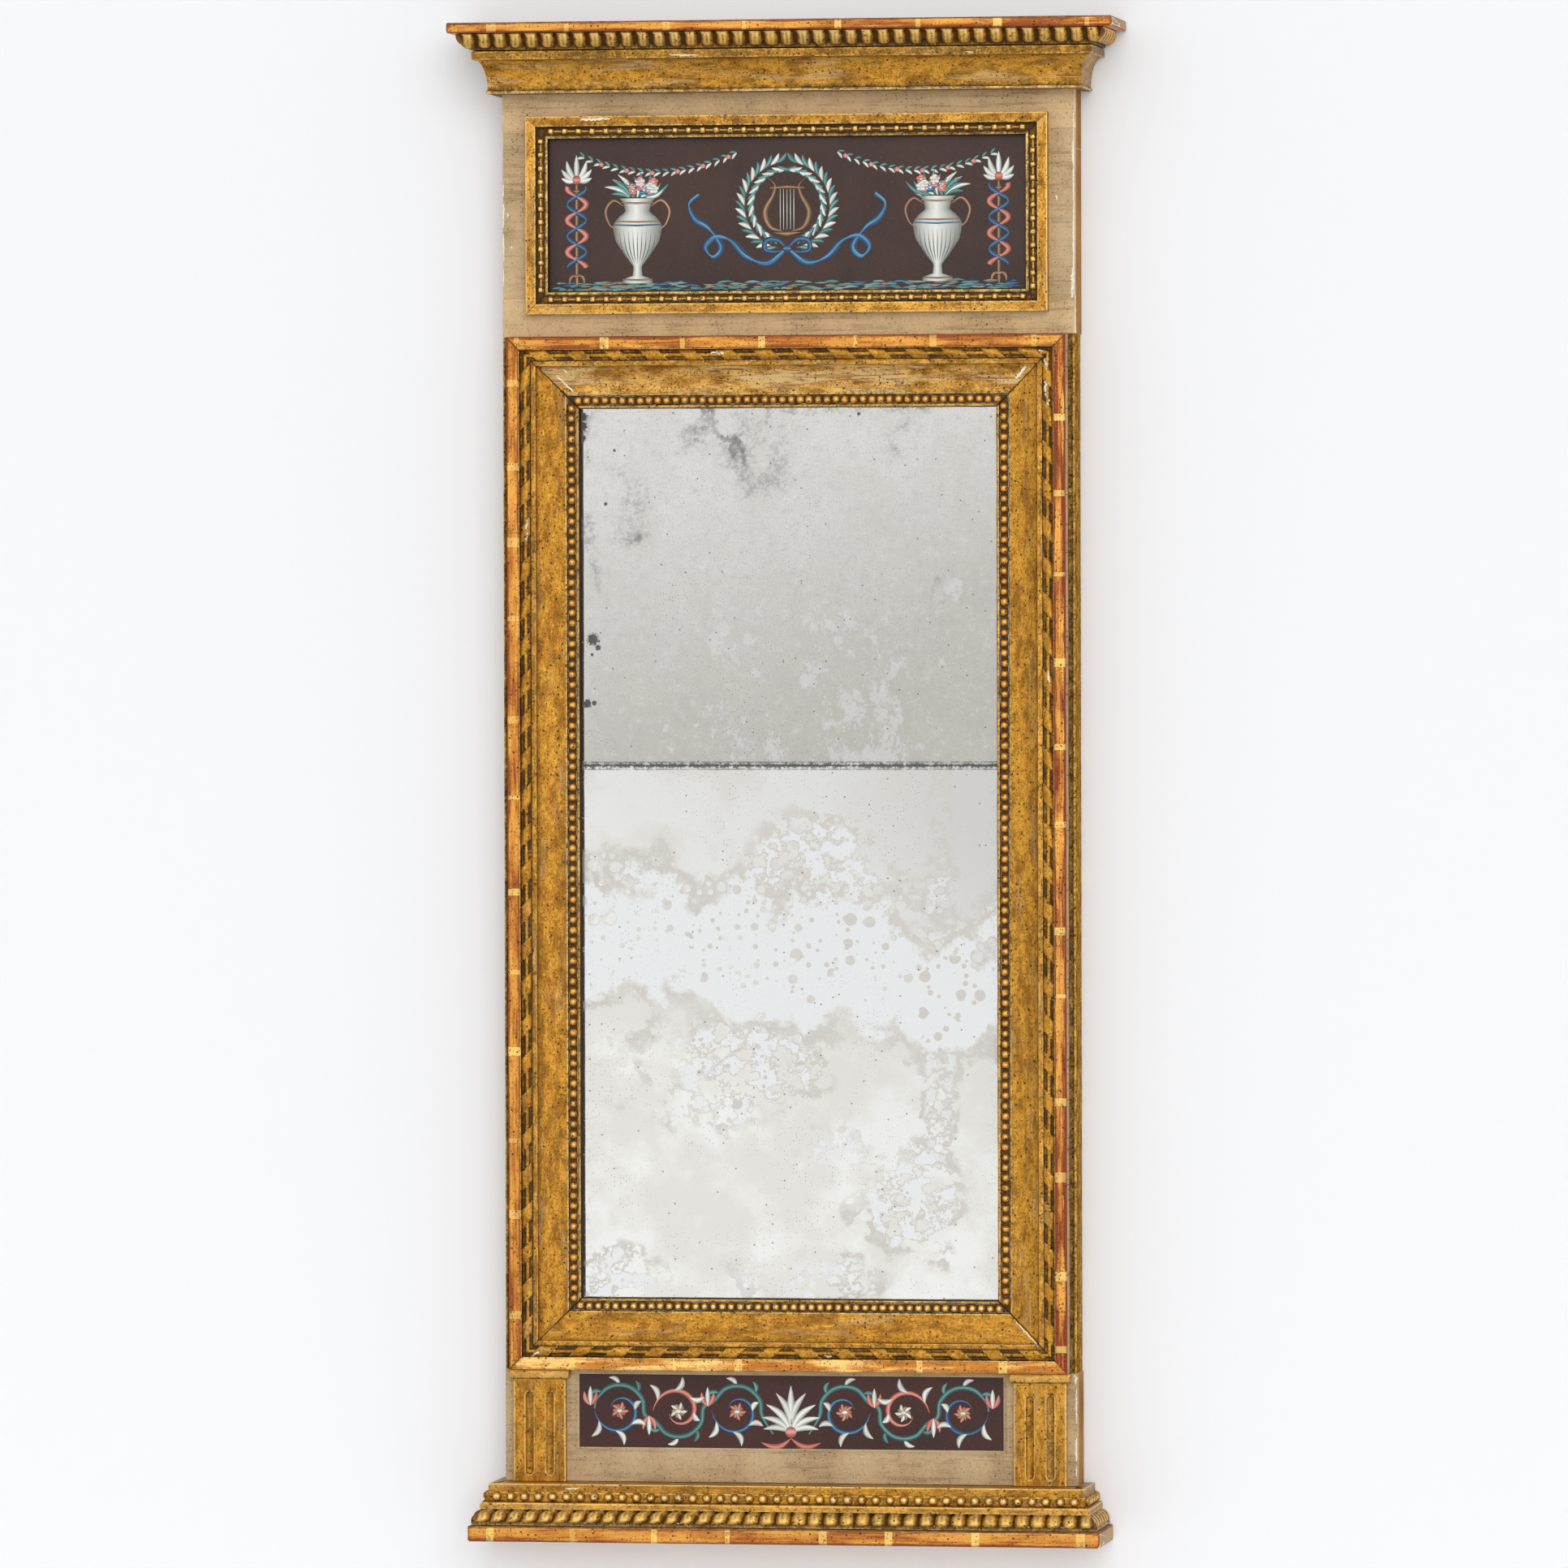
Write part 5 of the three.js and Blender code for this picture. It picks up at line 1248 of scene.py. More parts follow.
def build_cornice():
    """The cove, and the row of lobes over it."""
    low, high = corners("cove_front")
    ovolo_low, ovolo_high = corners("ovolo_front")
    lip_out = -low[1] - (-corners("top_slab")[0][1] - TOP_SLAB_OUT)
    ground = -low[1] - lip_out
    bottom, foot_top = low[2], low[2] + COVE_FOOT
    quirk = 2
    hollow_height = ovolo_low[2] - bottom - COVE_LIP - COVE_FOOT - quirk
    rim = lip_out - 2.5
    cove = arc(rim, foot_top + quirk, rim - COVE_HOLLOW_OUT, hollow_height, 180, 90, 16)
    points = [
        (COVE_FOOT_OUT, bottom, "foot"), (COVE_FOOT_OUT, foot_top, "quirk"),
        (COVE_HOLLOW_OUT, foot_top, "cove"), *[(d, z, "cove") for d, z in cove],
        (lip_out, ovolo_low[2] - COVE_LIP, "lip"), (lip_out, high[2], "lip"),
    ]
    backing = FACE + GAP
    gilt = {"foot": 0, "quirk": 0, "cove": 0, "lip": 0, "carved": 0, "under": 0, "back": 1,
            "end": 1}
    # The lip under the lobes is darkened as painted shade beneath their overhang; the quirk's
    # darkening is grime.
    planted("carved_cove", "cove", points, ground, backing, gilt, [COVE_GOLD, PINE],
            soil_and_shade={"quirk": 0.4, "lip": 0.45})

    start = lip_out - 1
    radius = OVOLO_OUT - start
    spring = ovolo_low[2] + 0.5
    ovolo = arc(start, spring + radius, radius, radius, 270, 360, 12)
    points = [
        (start - 1, ovolo_low[2], "under"), (start, spring - 0.2, "under"),
        *[(d, z, "carved") for d, z in ovolo[1:]], (OVOLO_OUT, ovolo_high[2], "under"),
    ]
    row = CASE_HALF + OVOLO_OUT
    centres = even_centres(-row, row, LOBE_PITCH)
    relief = lobes(centres[1] - centres[0], 0.8, 4.6, -2.0, centres[0], -0.6, 0.8, 3.2)
    # Its under faces are darkened as painted shade beneath the lobes and under the slab.
    planted("carved_ovolo", "ovolo", points, ground, backing, gilt, [LOBE_GOLD, PINE], relief,
            {"under": 0.6}, step=CARVING_STEP)


def build_base():
    """The base moulding: slanted gadroons, a belt, and pearls on a splayed bed."""
    low, high = corners("base_mould_front")
    ground = -low[1] - GADROON_OUT
    bottom, top = low[2], high[2]
    gadroon_top = bottom + GADROON_HEIGHT
    belt_top = gadroon_top + BASE_BELT
    bed_bottom = belt_top + BASE_SPLAY
    bed_top = bed_bottom + BASE_BED
    foot = 2
    gadroons = arc(GADROON_HEAD_OUT, bottom + foot, GADROON_OUT - GADROON_HEAD_OUT,
                   GADROON_HEIGHT - foot, 0, 90, 12)
    points = [
        (GADROON_FOOT_OUT, bottom, "under"), (GADROON_FOOT_OUT, bottom + 1.6, "under"),
        *[(d, z, "carved") for d, z in gadroons], (BASE_BELT_OUT, gadroon_top + 0.5, "belt"),
        (BASE_BELT_OUT, belt_top, "belt"), (BASE_BED_OUT, bed_bottom, "bed"),
        (BASE_BED_OUT, bed_top, "strip"), (BASE_STRIP_OUT, bed_top, "strip"),
        (BASE_STRIP_OUT, top, "strip"),
    ]
    gilt = {"under": 0, "carved": 0, "belt": 3, "strip": 0, "bed": 0, "back": 1, "end": 1}
    row = CASE_HALF + GADROON_OUT
    centres = even_centres(-row, row, GADROON_PITCH)
    relief = lobes(centres[1] - centres[0], 0.92, 3.8, 9.0, centres[0], curl=1.2)
    middle = (bed_bottom + bed_top) / 2

    def pearls(shell, place, hand):
        chance = random.Random(f"base pearls {hand}")
        if hand == "front":
            bed = ground + BASE_BED_OUT
            spots = even_centres(-CASE_HALF - BASE_BED_OUT, CASE_HALF + BASE_BED_OUT, BASE_PEARLS)
        else:
            bed = BASE_BED_OUT
            spots = even_centres(-ground - BASE_BED_OUT, 0, BASE_PEARLS)
            spots = spots if hand == "right" else [-spot for spot in spots]
        for x in spots:
            shell.pearl(place, x, middle, bed, BASE_PEARL_RADIUS, 2, chance, 0.1, 0.03)

    # Its under faces are darkened as painted shade beneath the gadroons; the pearls' bed is
    # darkened with grime and painted shade between the pearls.
    planted("carved_base", "base_mould", points, ground, -corners("plinth_board")[1][1], gilt,
            [MATT, PINE, PALE_GOLD, BRIGHT_GOLD], relief, {"under": 0.5, "bed": 0.4},
            step=CARVING_STEP, darkening=0.3, pearls=pearls)


# ---------------------------------------------------------------------------------------------
# Pilasters and flanks
# ---------------------------------------------------------------------------------------------


def flutes(foot, head):
    """Two flutes with round ends, between the heights of foot and head."""
    hollow_radius, rim_radius = 4.1, 4.3

    def relief(x, section):
        _, front = section.span("face")
        lift, rim, hollow = 0.0, 0.0, 0.0
        for offset in (-FLUTE_SPREAD, FLUTE_SPREAD):
            beyond = np.maximum(np.maximum(foot + FLUTE_RADIUS - x, x - head + FLUTE_RADIUS), 0)
            radius = np.hypot(section.across[None, :] - offset, beyond)
            deep = np.sqrt(np.clip(1 - (radius / hollow_radius) ** 2, 0, 1))
            lift -= FLUTE_DEPTH * deep * front
            hollow += np.clip(deep - 0.45, 0, 1) * 0.55 * front
            rim += np.exp(-((radius - rim_radius) / 0.6) ** 2) * front
        return lift, rim * 1.1, hollow

    return relief


def build_pilasters():
    for hand in ("left", "right"):
        low, high = corners(f"pilaster_{hand}")
        half = (high[0] - low[0]) / 2
        back, face = -high[1], -low[1]
        section = Section([
            (back, -half, "side"), (face, -half, "face"), (face, half, "side"),
            (back, half, "side"),
        ], fine={"face": 0.8})
        Shell().sweep(
            section, Place(((low[0] + high[0]) / 2, 0, 0), (0, 0, 1), (-1, 0, 0)), flush(low[2]),
            flush(high[2]), {"side": 0, "face": 0, "end": 0}, step=1.5,
            relief=flutes(low[2] + FLUTE_FOOT, high[2] - FLUTE_HEAD), seed=hand, uneven=0.1,
        ).show(f"fluted_pilaster_{hand}", [MATT], [f"pilaster_{hand}"], "matt_gilding")


def build_caps():
    """Each cap is a stack of rings. profile is (share of the cap's overhang, height)."""
    for hand in ("left", "right"):
        low, high = corners(f"pilaster_cap_{hand}")
        shaft_low, shaft_high = corners(f"pilaster_{hand}")
        bottom, top = low[2], high[2]
        abacus = bottom + 3.2
        profile = [
            (0.0, bottom), (0.0, bottom + 0.9),
            *arc(0, abacus, 0.75, abacus - bottom - 1, 270, 360, 6)[1:],
            (0.95, abacus + 0.1), (1.0, abacus + 0.6), (1.0, top - 0.5), (0.93, top),
        ]
        rings = []
        for share, z in profile:
            x0, x1 = shaft_low[0] - CAP_SIDE * share, shaft_high[0] + CAP_SIDE * share
            y0, eased = shaft_low[1] - CAP_FRONT * share, 0.5
            ring = [(x0, high[1]), (x0, y0 + eased), (x0 + eased, y0)]
            ring += [(x, y0) for x in np.linspace(x0 + 2, x1 - 2, 24)]
            ring += [(x1 - eased, y0), (x1, y0 + eased), (x1, high[1])]
            rings.append([(x, y, z) for x, y in ring])
        points = np.array(rings).reshape(-1, 3)
        z = points[:, 2]
        shell = Shell()
        shell.add(
            points, tube(len(rings), len(rings[0])),
            flow=np.stack([points[:, 0], z, z * 0 + 55], -1),
            wear=sum(0.7 * np.exp(-np.abs(z - edge) / 0.8) for edge in (bottom, abacus + 0.3, top)),
            dirt=0.3 * np.exp(-np.abs(z - abacus + 1.4)),
        )
        shell.show(f"moulded_cap_{hand}", [BRIGHT_GOLD], [f"pilaster_cap_{hand}"], "matt_gilding")


def build_edge_mouldings():
    """The gilt hollow and bead down each flank of the main frame."""
    bead, hollow, quirk, foot = 1.3, 1.6, 1.2, 14.0
    for hand, sign in (("right", 1), ("left", -1)):
        low, high = corners(f"edge_mould_{hand}")
        face = -low[1]
        inner = abs(low[0] if sign > 0 else high[0])
        hollow_start = FRAME_HIGH[0] + GAP
        hollow_end = CASE_HALF - 2 * bead
        middle, half = (hollow_start + hollow_end) / 2, (hollow_end - hollow_start) / 2
        side = CASE_HALF - bead
        long = (face - 2 * bead - quirk + foot) / 2
        outline = [
            (0, inner, "back"), (face, inner, "hidden"), (face, hollow_start - 0.2, "hollow"),
            *[(face - hollow * math.sin(a), middle - half * math.cos(a), "hollow")
              for a in np.linspace(0, math.pi, 9)],
            *[(face - bead + bead * math.cos(a), side + bead * math.sin(a), "bead")
              for a in np.linspace(0, math.pi / 2, 6)],
            (face - 2 * bead, side, "side"),
            *[(long + (long - foot) * math.cos(a), side + bead * math.sin(a), "side")
              for a in np.linspace(0, math.pi, 9)],
            (0, side, "side"),
        ]
        section = Section([(d, sign * -across, kind) for d, across, kind in outline], ease=0.3,
                          soil_and_shade={"hollow": 0.3, "side": 0.35})
        Shell().sweep(
            section, UPRIGHT, flush(low[2]), flush(high[2]),
            {"back": 1, "hidden": 1, "hollow": 0, "bead": 0, "side": 0, "end": 0},
            seed=f"edge{hand}", uneven=0.1,
        ).show(f"gilt_edge_moulding_{hand}", [EDGE_GOLD, PINE], [f"edge_mould_{hand}"],
               "matt_gilding")


# ---------------------------------------------------------------------------------------------
# Losses, and the finishes of the CAD nodes
# ---------------------------------------------------------------------------------------------

# Where the gilding or the paint is lost: the piece and, for each loss, how far across and up the
# part it starts, the same for its end, and its width
LOSSES = [
    ("carved_cove_front", [(-111, -3.2, -82, -3.8, 1.7), (184, -3.4, 191, -3.6, 1.3)]),
    ("carved_picture_frame_top", [(-205, -65.0, -175, -64.4, 3.0)]),
    ("carved_frame_top", [
        (-231, -317.3, -214, -333.6, 2.0), (-224, -311.0, -219.5, -315.0, 1.4)]),
    ("carved_ribbon_top", [(-74, -295.6, -61, -297.0, 4.2), (252, -296.0, 258, -296.5, 2.2)]),
    ("carved_ribbon_left", [
        (-257.3, -458.0, -260, -469.5, 2.0), (-258.3, -473.0, -260.3, -482.0, 2.2)]),
    ("carved_ribbon_right", [
        (259.6, -303.5, 259.9, -312.5, 4.2), (258.8, -326.0, 262.4, -350.0, 4.6),
        (261.0, -610.0, 262.4, -622.0, 2.4)]),
    ("carved_frame_top", [(228, -323.0, 239, -311.7, 3.4)]),
    ("carved_frame_bottom", [(226.4, -1252.0, 250, -1275.5, 1.5)]),
    ("carved_ribbon_bottom", [
        (-257.0, -1288.5, -249, -1284.6, 3.0), (36.0, -1286.0, 44, -1287.0, 2.4)]),
    ("painted_frieze_boards", [
        (-164.7, -55.5, -163.2, -55.7, 1.2), (-133.8, -55.7, -132.4, -55.7, 1.1),
        (285.4, -62.0, 285.6, -78.0, 1.4), (284.9, -90.0, 284.8, -113.0, 2.2),
        (284.6, -117.0, 285.3, -149.0, 1.2), (285.2, -153.0, 284.9, -214.0, 1.6),
        (284.2, -214.0, 283.9, -244.0, 3.2), (268.4, -142.9, 268.6, -148.0, 2.6),
        (-285.2, -59.0, -285.3, -66.0, 1.1), (-285.0, -128.0, -285.3, -140.0, 1.4),
        (-284.6, -147.0, -285.0, -171.0, 2.2), (-280.2, -156.0, -280.8, -160.0, 1.5),
        (-284.9, -177.0, -284.8, -204.0, 1.6), (-277.0, -189.0, -276.5, -191.5, 1.2),
        (-285.0, -212.0, -285.2, -228.0, 1.2)]),
    ("plinth_board", [
        (284.6, -1303.5, 285.2, -1313.0, 2.8), (285.4, -1317.0, 285.5, -1352.0, 1.3),
        (285.3, -1366.0, 285.3, -1389.0, 2.0), (285.4, -1393.0, 285.4, -1404.0, 1.2)]),
    ("carved_base_front", [(-220, -1418.2, -206, -1418.2, 1.5)]),
]


def loss(tree, start, end, width, chance):
    """The points of a thin ragged body on a surface, in rings of four."""
    length = np.linalg.norm(end - start)
    along = (end - start) / length
    across = np.array([-along[1], along[0]])
    surface = None
    rings = []
    for share in np.linspace(0, 1, max(5, int(length / 1.3))):
        half = width / 2 * math.sin(math.pi * (0.06 + 0.88 * share)) ** 0.5
        drift = chance.uniform(-0.2, 0.2) * width
        ring = []
        for side, rise in ((0, 0.1), (-1, 0.02), (1, 0.02)):
            reach = drift + side * half * chance.uniform(0.5, 1.2)
            x, z = start + along * length * share + across * reach
            hit = tree.ray_cast(Vector((x, -200.0, z)), Vector((0, 1, 0)))[0]
            if hit:
                surface = hit.y if surface is None else min(hit.y, surface + 1.2)
            ring.append((x, surface - rise, z))
        crown, left, right = ring
        sunk = max(y for x, y, z in ring) + 0.5
        rings.append([left, crown, right, (crown[0], sunk, crown[2])])
    return np.array(rings)


def lose_gilding():
    """Shows the gesso at each loss, as a thin ragged body that lies on the piece's own surface."""
    shell = Shell()
    number = 0
    for name, places in LOSSES:
        mesh = bpy.data.objects[name].data
        tree = BVHTree.FromPolygons(
            [v.co / MM for v in mesh.vertices], [p.vertices for p in mesh.polygons])
        for x0, z0, x1, z1, width in places:
            start, end = np.array([x0, z0], float), np.array([x1, z1], float)
            rings = loss(tree, start, end, width, random.Random(f"loss {number}"))
            points = rings.reshape(-1, 3)
            bare = np.zeros(len(points))
            shell.add(points, tube(len(rings), 4), flow=np.zeros_like(points), wear=bare,
                      dirt=bare)
            number += 1
    shell.show("gesso_losses", [GESSO_LOSS])


def dress_cad_nodes():
    """Finishes for the CAD nodes that stay as they are."""
    wide, tall = PLINTH_WINDOW
    foot = corners("plinth_board")[0][2] + PLINTH_MARGIN
    finishes = {
        "mirror_lower": lower_silvering(), "mirror_upper": upper_silvering(),
        "plinth_board": paint("plinth_paint", PAINT_TONES, window=(wide / 2, foot, foot + tall)),
        "picture_glass": GROUND, "plinth_glass": PLINTH_GROUND, "hanger_strap": IRON,
        "hanger_nail_upper": IRON, "hanger_nail_lower": IRON,
    }
    for name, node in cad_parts.items():
        node.data.materials.clear()
        node.data.materials.append(finishes.get(name, PINE))


# ---------------------------------------------------------------------------------------------
# Painted panels
# ---------------------------------------------------------------------------------------------

# The tones of a colour: its shade, its body and its light
WHITE = ((104, 106, 102), (202, 205, 196), (250, 250, 244))
BLUE = ((4, 26, 52), (10, 62, 104), (96, 158, 196))
CORAL = ((122, 50, 42), (188, 98, 84), (230, 166, 148))
TEAL = ((16, 54, 56), (44, 108, 106), (132, 178, 168))
BRONZE = ((58, 38, 24), (128, 88, 54), (204, 168, 122))


def smooth(points, step=2.5):
    """A curve through the points, cut into short steps."""
    points = np.array(points, float)
    padded = np.vstack([2 * points[0] - points[1], points, 2 * points[-1] - points[-2]])
    out = []
    for p0, p1, p2, p3 in zip(padded, padded[1:], padded[2:], padded[3:]):
        count = max(2, int(np.linalg.norm(p2 - p1) / step))
        t = np.linspace(0, 1, count, endpoint=False)[:, None]
        out.append(0.5 * (2 * p1 + (p2 - p0) * t + (2 * p0 - 5 * p1 + 4 * p2 - p3) * t ** 2
                          + (3 * p1 - p0 - 3 * p2 + p3) * t ** 3))
    return np.vstack([*out, points[-1:]])


def spiral(centre, radius, inner, start, turns, steps=40):
    """A scroll that winds in round its centre. Angles are in turns."""
    share = np.linspace(0, 1, steps)
    angle = math.tau * (start + turns * share)
    reach = (radius + (inner - radius) * share ** 0.8)[:, None]
    return np.array(centre) + reach * np.stack([np.cos(angle), np.sin(angle)], -1)


def tapered(share):
    """A brush stroke's width along it: a quick swell and a long tail."""
    return np.clip(np.sin(math.pi * share ** 0.75), 0.1, 1)


def leaf_shape(share):
    return np.clip(np.sin(math.pi * share) ** 0.8, 0.08, 1)


def even_shape(share):
    return np.clip(np.minimum(share, 1 - share) * 12, 0.45, 1)


class Painting(Shell):
    """Brushwork on a panel. Every stroke is a thin closed body that carries its own colours."""

    LAYERS = {"flow": ("FLOAT_VECTOR", "vector"), "pigment": ("FLOAT_COLOR", "color")}
    CREASE = None
    # Where a stroke's points lie across it, how far they rise, and their tone, from shade to
    # light. The last two lie under the paint.
    SIDE = np.array([-1, -0.6, -0.1, 0.35, 0.8, 1, 1, -1])
    RISE = np.array([0.0, 0.8, 1.0, 0.95, 0.6, 0.0])
    TONE = np.array([0.0, 1.0, 1.7, 1.0, 0.35, 0.0, 0, 0])
    SUNK = [-0.05, -0.05]

    def __init__(self, node, origin):
        super().__init__()
        self.face = -corners(node)[0][1]
        self.origin = origin
        self.strokes = 0
        self.chance = random.Random(node)

    def stroke(self, line, width, tones, shape=tapered, layer=1, twin=True):
        """One stroke along a line of points, shaded across like a rounded form.

        twin adds its mirror image across the middle of the panel.
        """
        if twin:
            self.stroke([(-x, z) for x, z in line], width, tones, shape, layer, False)
        line = np.array(line, float)
        ahead = np.gradient(line, axis=0)
        ahead /= np.linalg.norm(ahead, axis=1)[:, None] + 1e-9
        half = width / 2 * shape(np.linspace(0, 1, len(line)))
        self.strokes += 1
        level = 0.1 * layer + 0.001 * (self.strokes % 60)
        normal = np.stack([ahead[:, 1], -ahead[:, 0]], -1)
        reach = half[:, None] * self.SIDE
        flat = line[:, None, :] + normal[:, None, :] * reach[..., None]
        depth = self.face + np.concatenate([self.RISE * 0.08 + level, self.SUNK])
        x, z = flat[..., 0] + self.origin[0], flat[..., 1] + self.origin[1]
        shade, body, light = (np.array(tint(*c)) for c in tones)
        tone = (self.TONE * self.chance.uniform(0.85, 1.15))[:, None]
        colour = np.where(tone < 1, shade + (body - shade) * tone,
                          body + (light - body) * (tone - 1))
        opaque = np.append(np.clip(colour, 0, 1), np.ones((len(colour), 1)), axis=1)
        along = np.concatenate([[0], np.cumsum(np.linalg.norm(np.diff(line, axis=0), axis=1))])
        self.add(
            np.stack([x, 0 * x - depth, z], -1).reshape(-1, 3), tube(*x.shape),
            flow=np.stack(
                [along[:, None] + 0 * x, reach, 0 * x + self.strokes * 7], -1).reshape(-1, 3),
            pigment=np.tile(opaque, (len(line), 1)),
        )

    def leaf(self, x, z, angle, length, width, tones, bend=0.15, layer=2, twin=True):
        """A leaf from its stalk. The angle is in degrees from the way along the panel."""
        a = math.radians(angle)
        share = np.linspace(0, 1, 8)
        side = bend * length * np.sin(math.pi * share)
        line = [(x + length * t * math.cos(a) - o * math.sin(a),
                 z + length * t * math.sin(a) + o * math.cos(a)) for t, o in zip(share, side)]
        self.stroke(line, width, tones, leaf_shape, layer, twin)

    def palmette(self, x, z, half_count, turn, lengths, widths, bend, twin=True):
        """A fan of white leaves. lengths and widths are the middle leaf's, and the step down."""
        for k in range(-half_count, half_count + 1):
            length, width = (middle - down * abs(k) for middle, down in (lengths, widths))
            self.leaf(x, z, 90 + k * turn, length, width, WHITE, bend * np.sign(k), 3, twin)

    def bar(self, x, z, half, sag, width, tones, shape, layer, twin=True):
        """A short level stroke that sags in its middle."""
        line = [(x - half, z), (x, z - sag), (x + half, z)]
        self.stroke(line, width, tones, shape, layer, twin)

    def dot(self, x, z, radius, tones, layer=3, twin=True):
        line = [(x + radius * t, z) for t in np.linspace(-0.98, 0.98, 8)]
        self.stroke(line, 2 * radius, tones,
                    lambda s: np.sqrt(1 - (1.96 * s - 0.98) ** 2), layer, twin)

    def flower(self, x, z, radius, tones, layer=3):
        """Five petals round a light heart."""
        for k in range(5):
            a = math.tau * (k / 5 + 0.05)
            self.dot(x + 0.55 * radius * math.cos(a), z + 0.55 * radius * math.sin(a),
                     0.48 * radius, tones, layer)
        self.dot(x, z, 0.28 * radius, WHITE, layer + 1)


def paint_ground_line(art, half_width, height):
    """Dabs of water and turf along the foot of a panel."""
    tones = [TEAL, TEAL, BLUE, (TEAL[0], (92, 140, 136), (176, 200, 188)), BRONZE]
    for _ in range(280):
        x = art.chance.uniform(-half_width, half_width - 16)
        z = 1 + (height - 1) * art.chance.random() ** 1.4
        length = art.chance.uniform(6, 16)
        rise = art.chance.uniform(-0.8, 0.8)
        line = smooth([(x, z), (x + length / 2, z + rise), (x + length, z)], 3)
        art.stroke(line, art.chance.uniform(1.6, 3.4), art.chance.choice(tones), twin=False)


def paint_urn(art, x):
    """A fluted urn with two handles."""
    foot, height, width = 8, 84.0, 50
    levels = [0, 0.05, 0.09, 0.2, 0.3, 0.5, 0.68, 0.78, 0.84, 0.95, 1.0]
    halves = [15, 15, 5, 4, 11, 22, 25, 19, 12, 14, 18]
    line = [(x, foot + height * t) for t in np.linspace(0, 1, 34)]
    art.stroke(line, width, WHITE, lambda s: np.interp(s, levels, halves) / (width / 2))
    for k in range(-4, 5):
        flute = [(x + k * 1.6, 28), (x + k * 3.8, 42), (x + k * 4.6, 60)]
        art.stroke(smooth(flute, 4), 1.1, (WHITE[0],) * 3, layer=2)
    bands = (66, 24, BLUE), (69.5, 22.5, BRONZE), (88, 16, BRONZE), (12, 15, BRONZE)
    for z, half, tones in bands:
        art.bar(x, z, half, 0.8, 2.2, tones, even_shape, 2)
    for side in (1, -1):
        handle = (13, 84), (24, 90), (32, 80), (28, 66), (20, 60), (24, 56)
        art.stroke(smooth([(x + side * out, z) for out, z in handle]), 3.0, BRONZE)


def paint_bunch(art, x, z):
    """A bunch of leaves and flowers in the mouth of an urn."""
    for k in range(26):
        angle = art.chance.uniform(5, 175)
        length = art.chance.uniform(13, 27)
        foot = x + 9 * math.cos(math.radians(angle))
        art.leaf(foot, z, angle, length, 4.6, TEAL if k % 3 else WHITE, 0.12)
    for k in range(13):
        angle, reach = math.radians(art.chance.uniform(10, 170)), art.chance.uniform(4, 19)
        tones = (CORAL, CORAL, BLUE, WHITE)[k % 4]
        spot = x + 1.1 * reach * math.cos(angle), z + 4 + reach * math.sin(angle)
        art.flower(*spot, art.chance.uniform(3.2, 5.2), tones)


def paint_wreath(art, z, radius):
    """Laurel leaves on a round stem, open at the top."""
    for k in range(19):
        angle = -75 + k * 8.4
        a = math.radians(angle)
        for turn, reach in ((32, 1.0), (-30, 0.93)):
            spot = reach * radius * math.cos(a), z + reach * radius * math.sin(a)
            art.leaf(*spot, angle + 90 - turn, 14, 5.0, WHITE if k % 2 else TEAL, 0.1)
    stem = [(radius * math.cos(a), z + radius * math.sin(a)) for a in np.linspace(-1.35, 1.4, 24)]
    art.stroke(stem, 1.6, BRONZE, even_shape)


def paint_lyre(art, z):
    """Two arms, a crossbar, a foot and five strings."""
    arm = [(4, z - 26), (17, z - 21), (22, z - 6), (14, z + 10), (12, z + 20), (19, z + 27)]
    art.stroke(smooth(arm), 5.2, BRONZE, tapered, 3)
    art.bar(0, z + 17, 17, -1, 3.2, BRONZE, even_shape, 3, twin=False)
    art.bar(0, z - 27, 13, 1.5, 5.0, BRONZE, leaf_shape, 3, twin=False)
    for k in range(-2, 3):
        string = [(k * 3.4, z - 24), (k * 3.4, z - 4), (k * 3.4, z + 16)]
        art.stroke(string, 0.9, WHITE, even_shape, 3, twin=False)


def paint_bow(art, z):
    """A blue bow whose tails flow to both sides."""
    loop = [(0, z), (10, z + 9), (21, z + 8), (22, z - 1), (10, z - 3), (0, z)]
    art.stroke(smooth(loop), 5.5, BLUE, layer=4)
    art.dot(0, z, 4.2, BLUE, 5, twin=False)
    tail = smooth([
        (2, z - 2), (20, z - 14), (40, z - 8), (56, z + 8), (72, z + 12), (82, z + 2),
        (74, z - 8), (66, z + 2), (78, z + 20), (92, z + 30), (98, z + 44), (88, z + 54),
    ], 1.6)
    twist = lambda s: 0.35 + 0.65 * np.abs(np.sin(s * 17.0)) * np.clip(8 * (1 - s), 0.3, 1)
    art.stroke(tail, 8.0, BLUE, twist, 3)
    fold = lambda s: 0.3 + 0.7 * np.clip(np.sin(s * 34.0), 0, 1)
    art.stroke(tail + [0.4, 0.9], 1.8, (BLUE[1], BLUE[2], BLUE[2]), fold, 4)


def paint_staff(art, x):
    """A tall staff wound with two ribbons and crowned with a palmette."""
    art.stroke([(x, z) for z in np.linspace(8, 112, 20)], 3.4, BRONZE, even_shape, 2)
    for z, half in ((16, 5), (34, 3.4), (100, 3.4), (108, 4.6)):
        art.bar(x, z, half, 0.6, 3.4, BRONZE, leaf_shape, 3)
    for turn in (-38, 0, 38):
        art.leaf(x, 17, turn - 90, 12, 3.4, BRONZE, 0.25 * np.sign(turn))
    heights = np.linspace(24, 104, 66)
    for start, tones in ((0.0, CORAL), (math.pi, BLUE)):
        swing = np.sin(heights * 0.2 + start) * 9.5
        ribbon = lambda s: 0.35 + 0.65 * np.abs(np.cos(s * 16.0 + start / 2))
        art.stroke([(x + o, z) for o, z in zip(swing, heights)], 5.6, tones, ribbon, 3)
    art.palmette(x, 110, 3, 27, (25, 3.2), (5.8, 0), 0.1)
    art.dot(x, 111, 4.2, CORAL, 4)


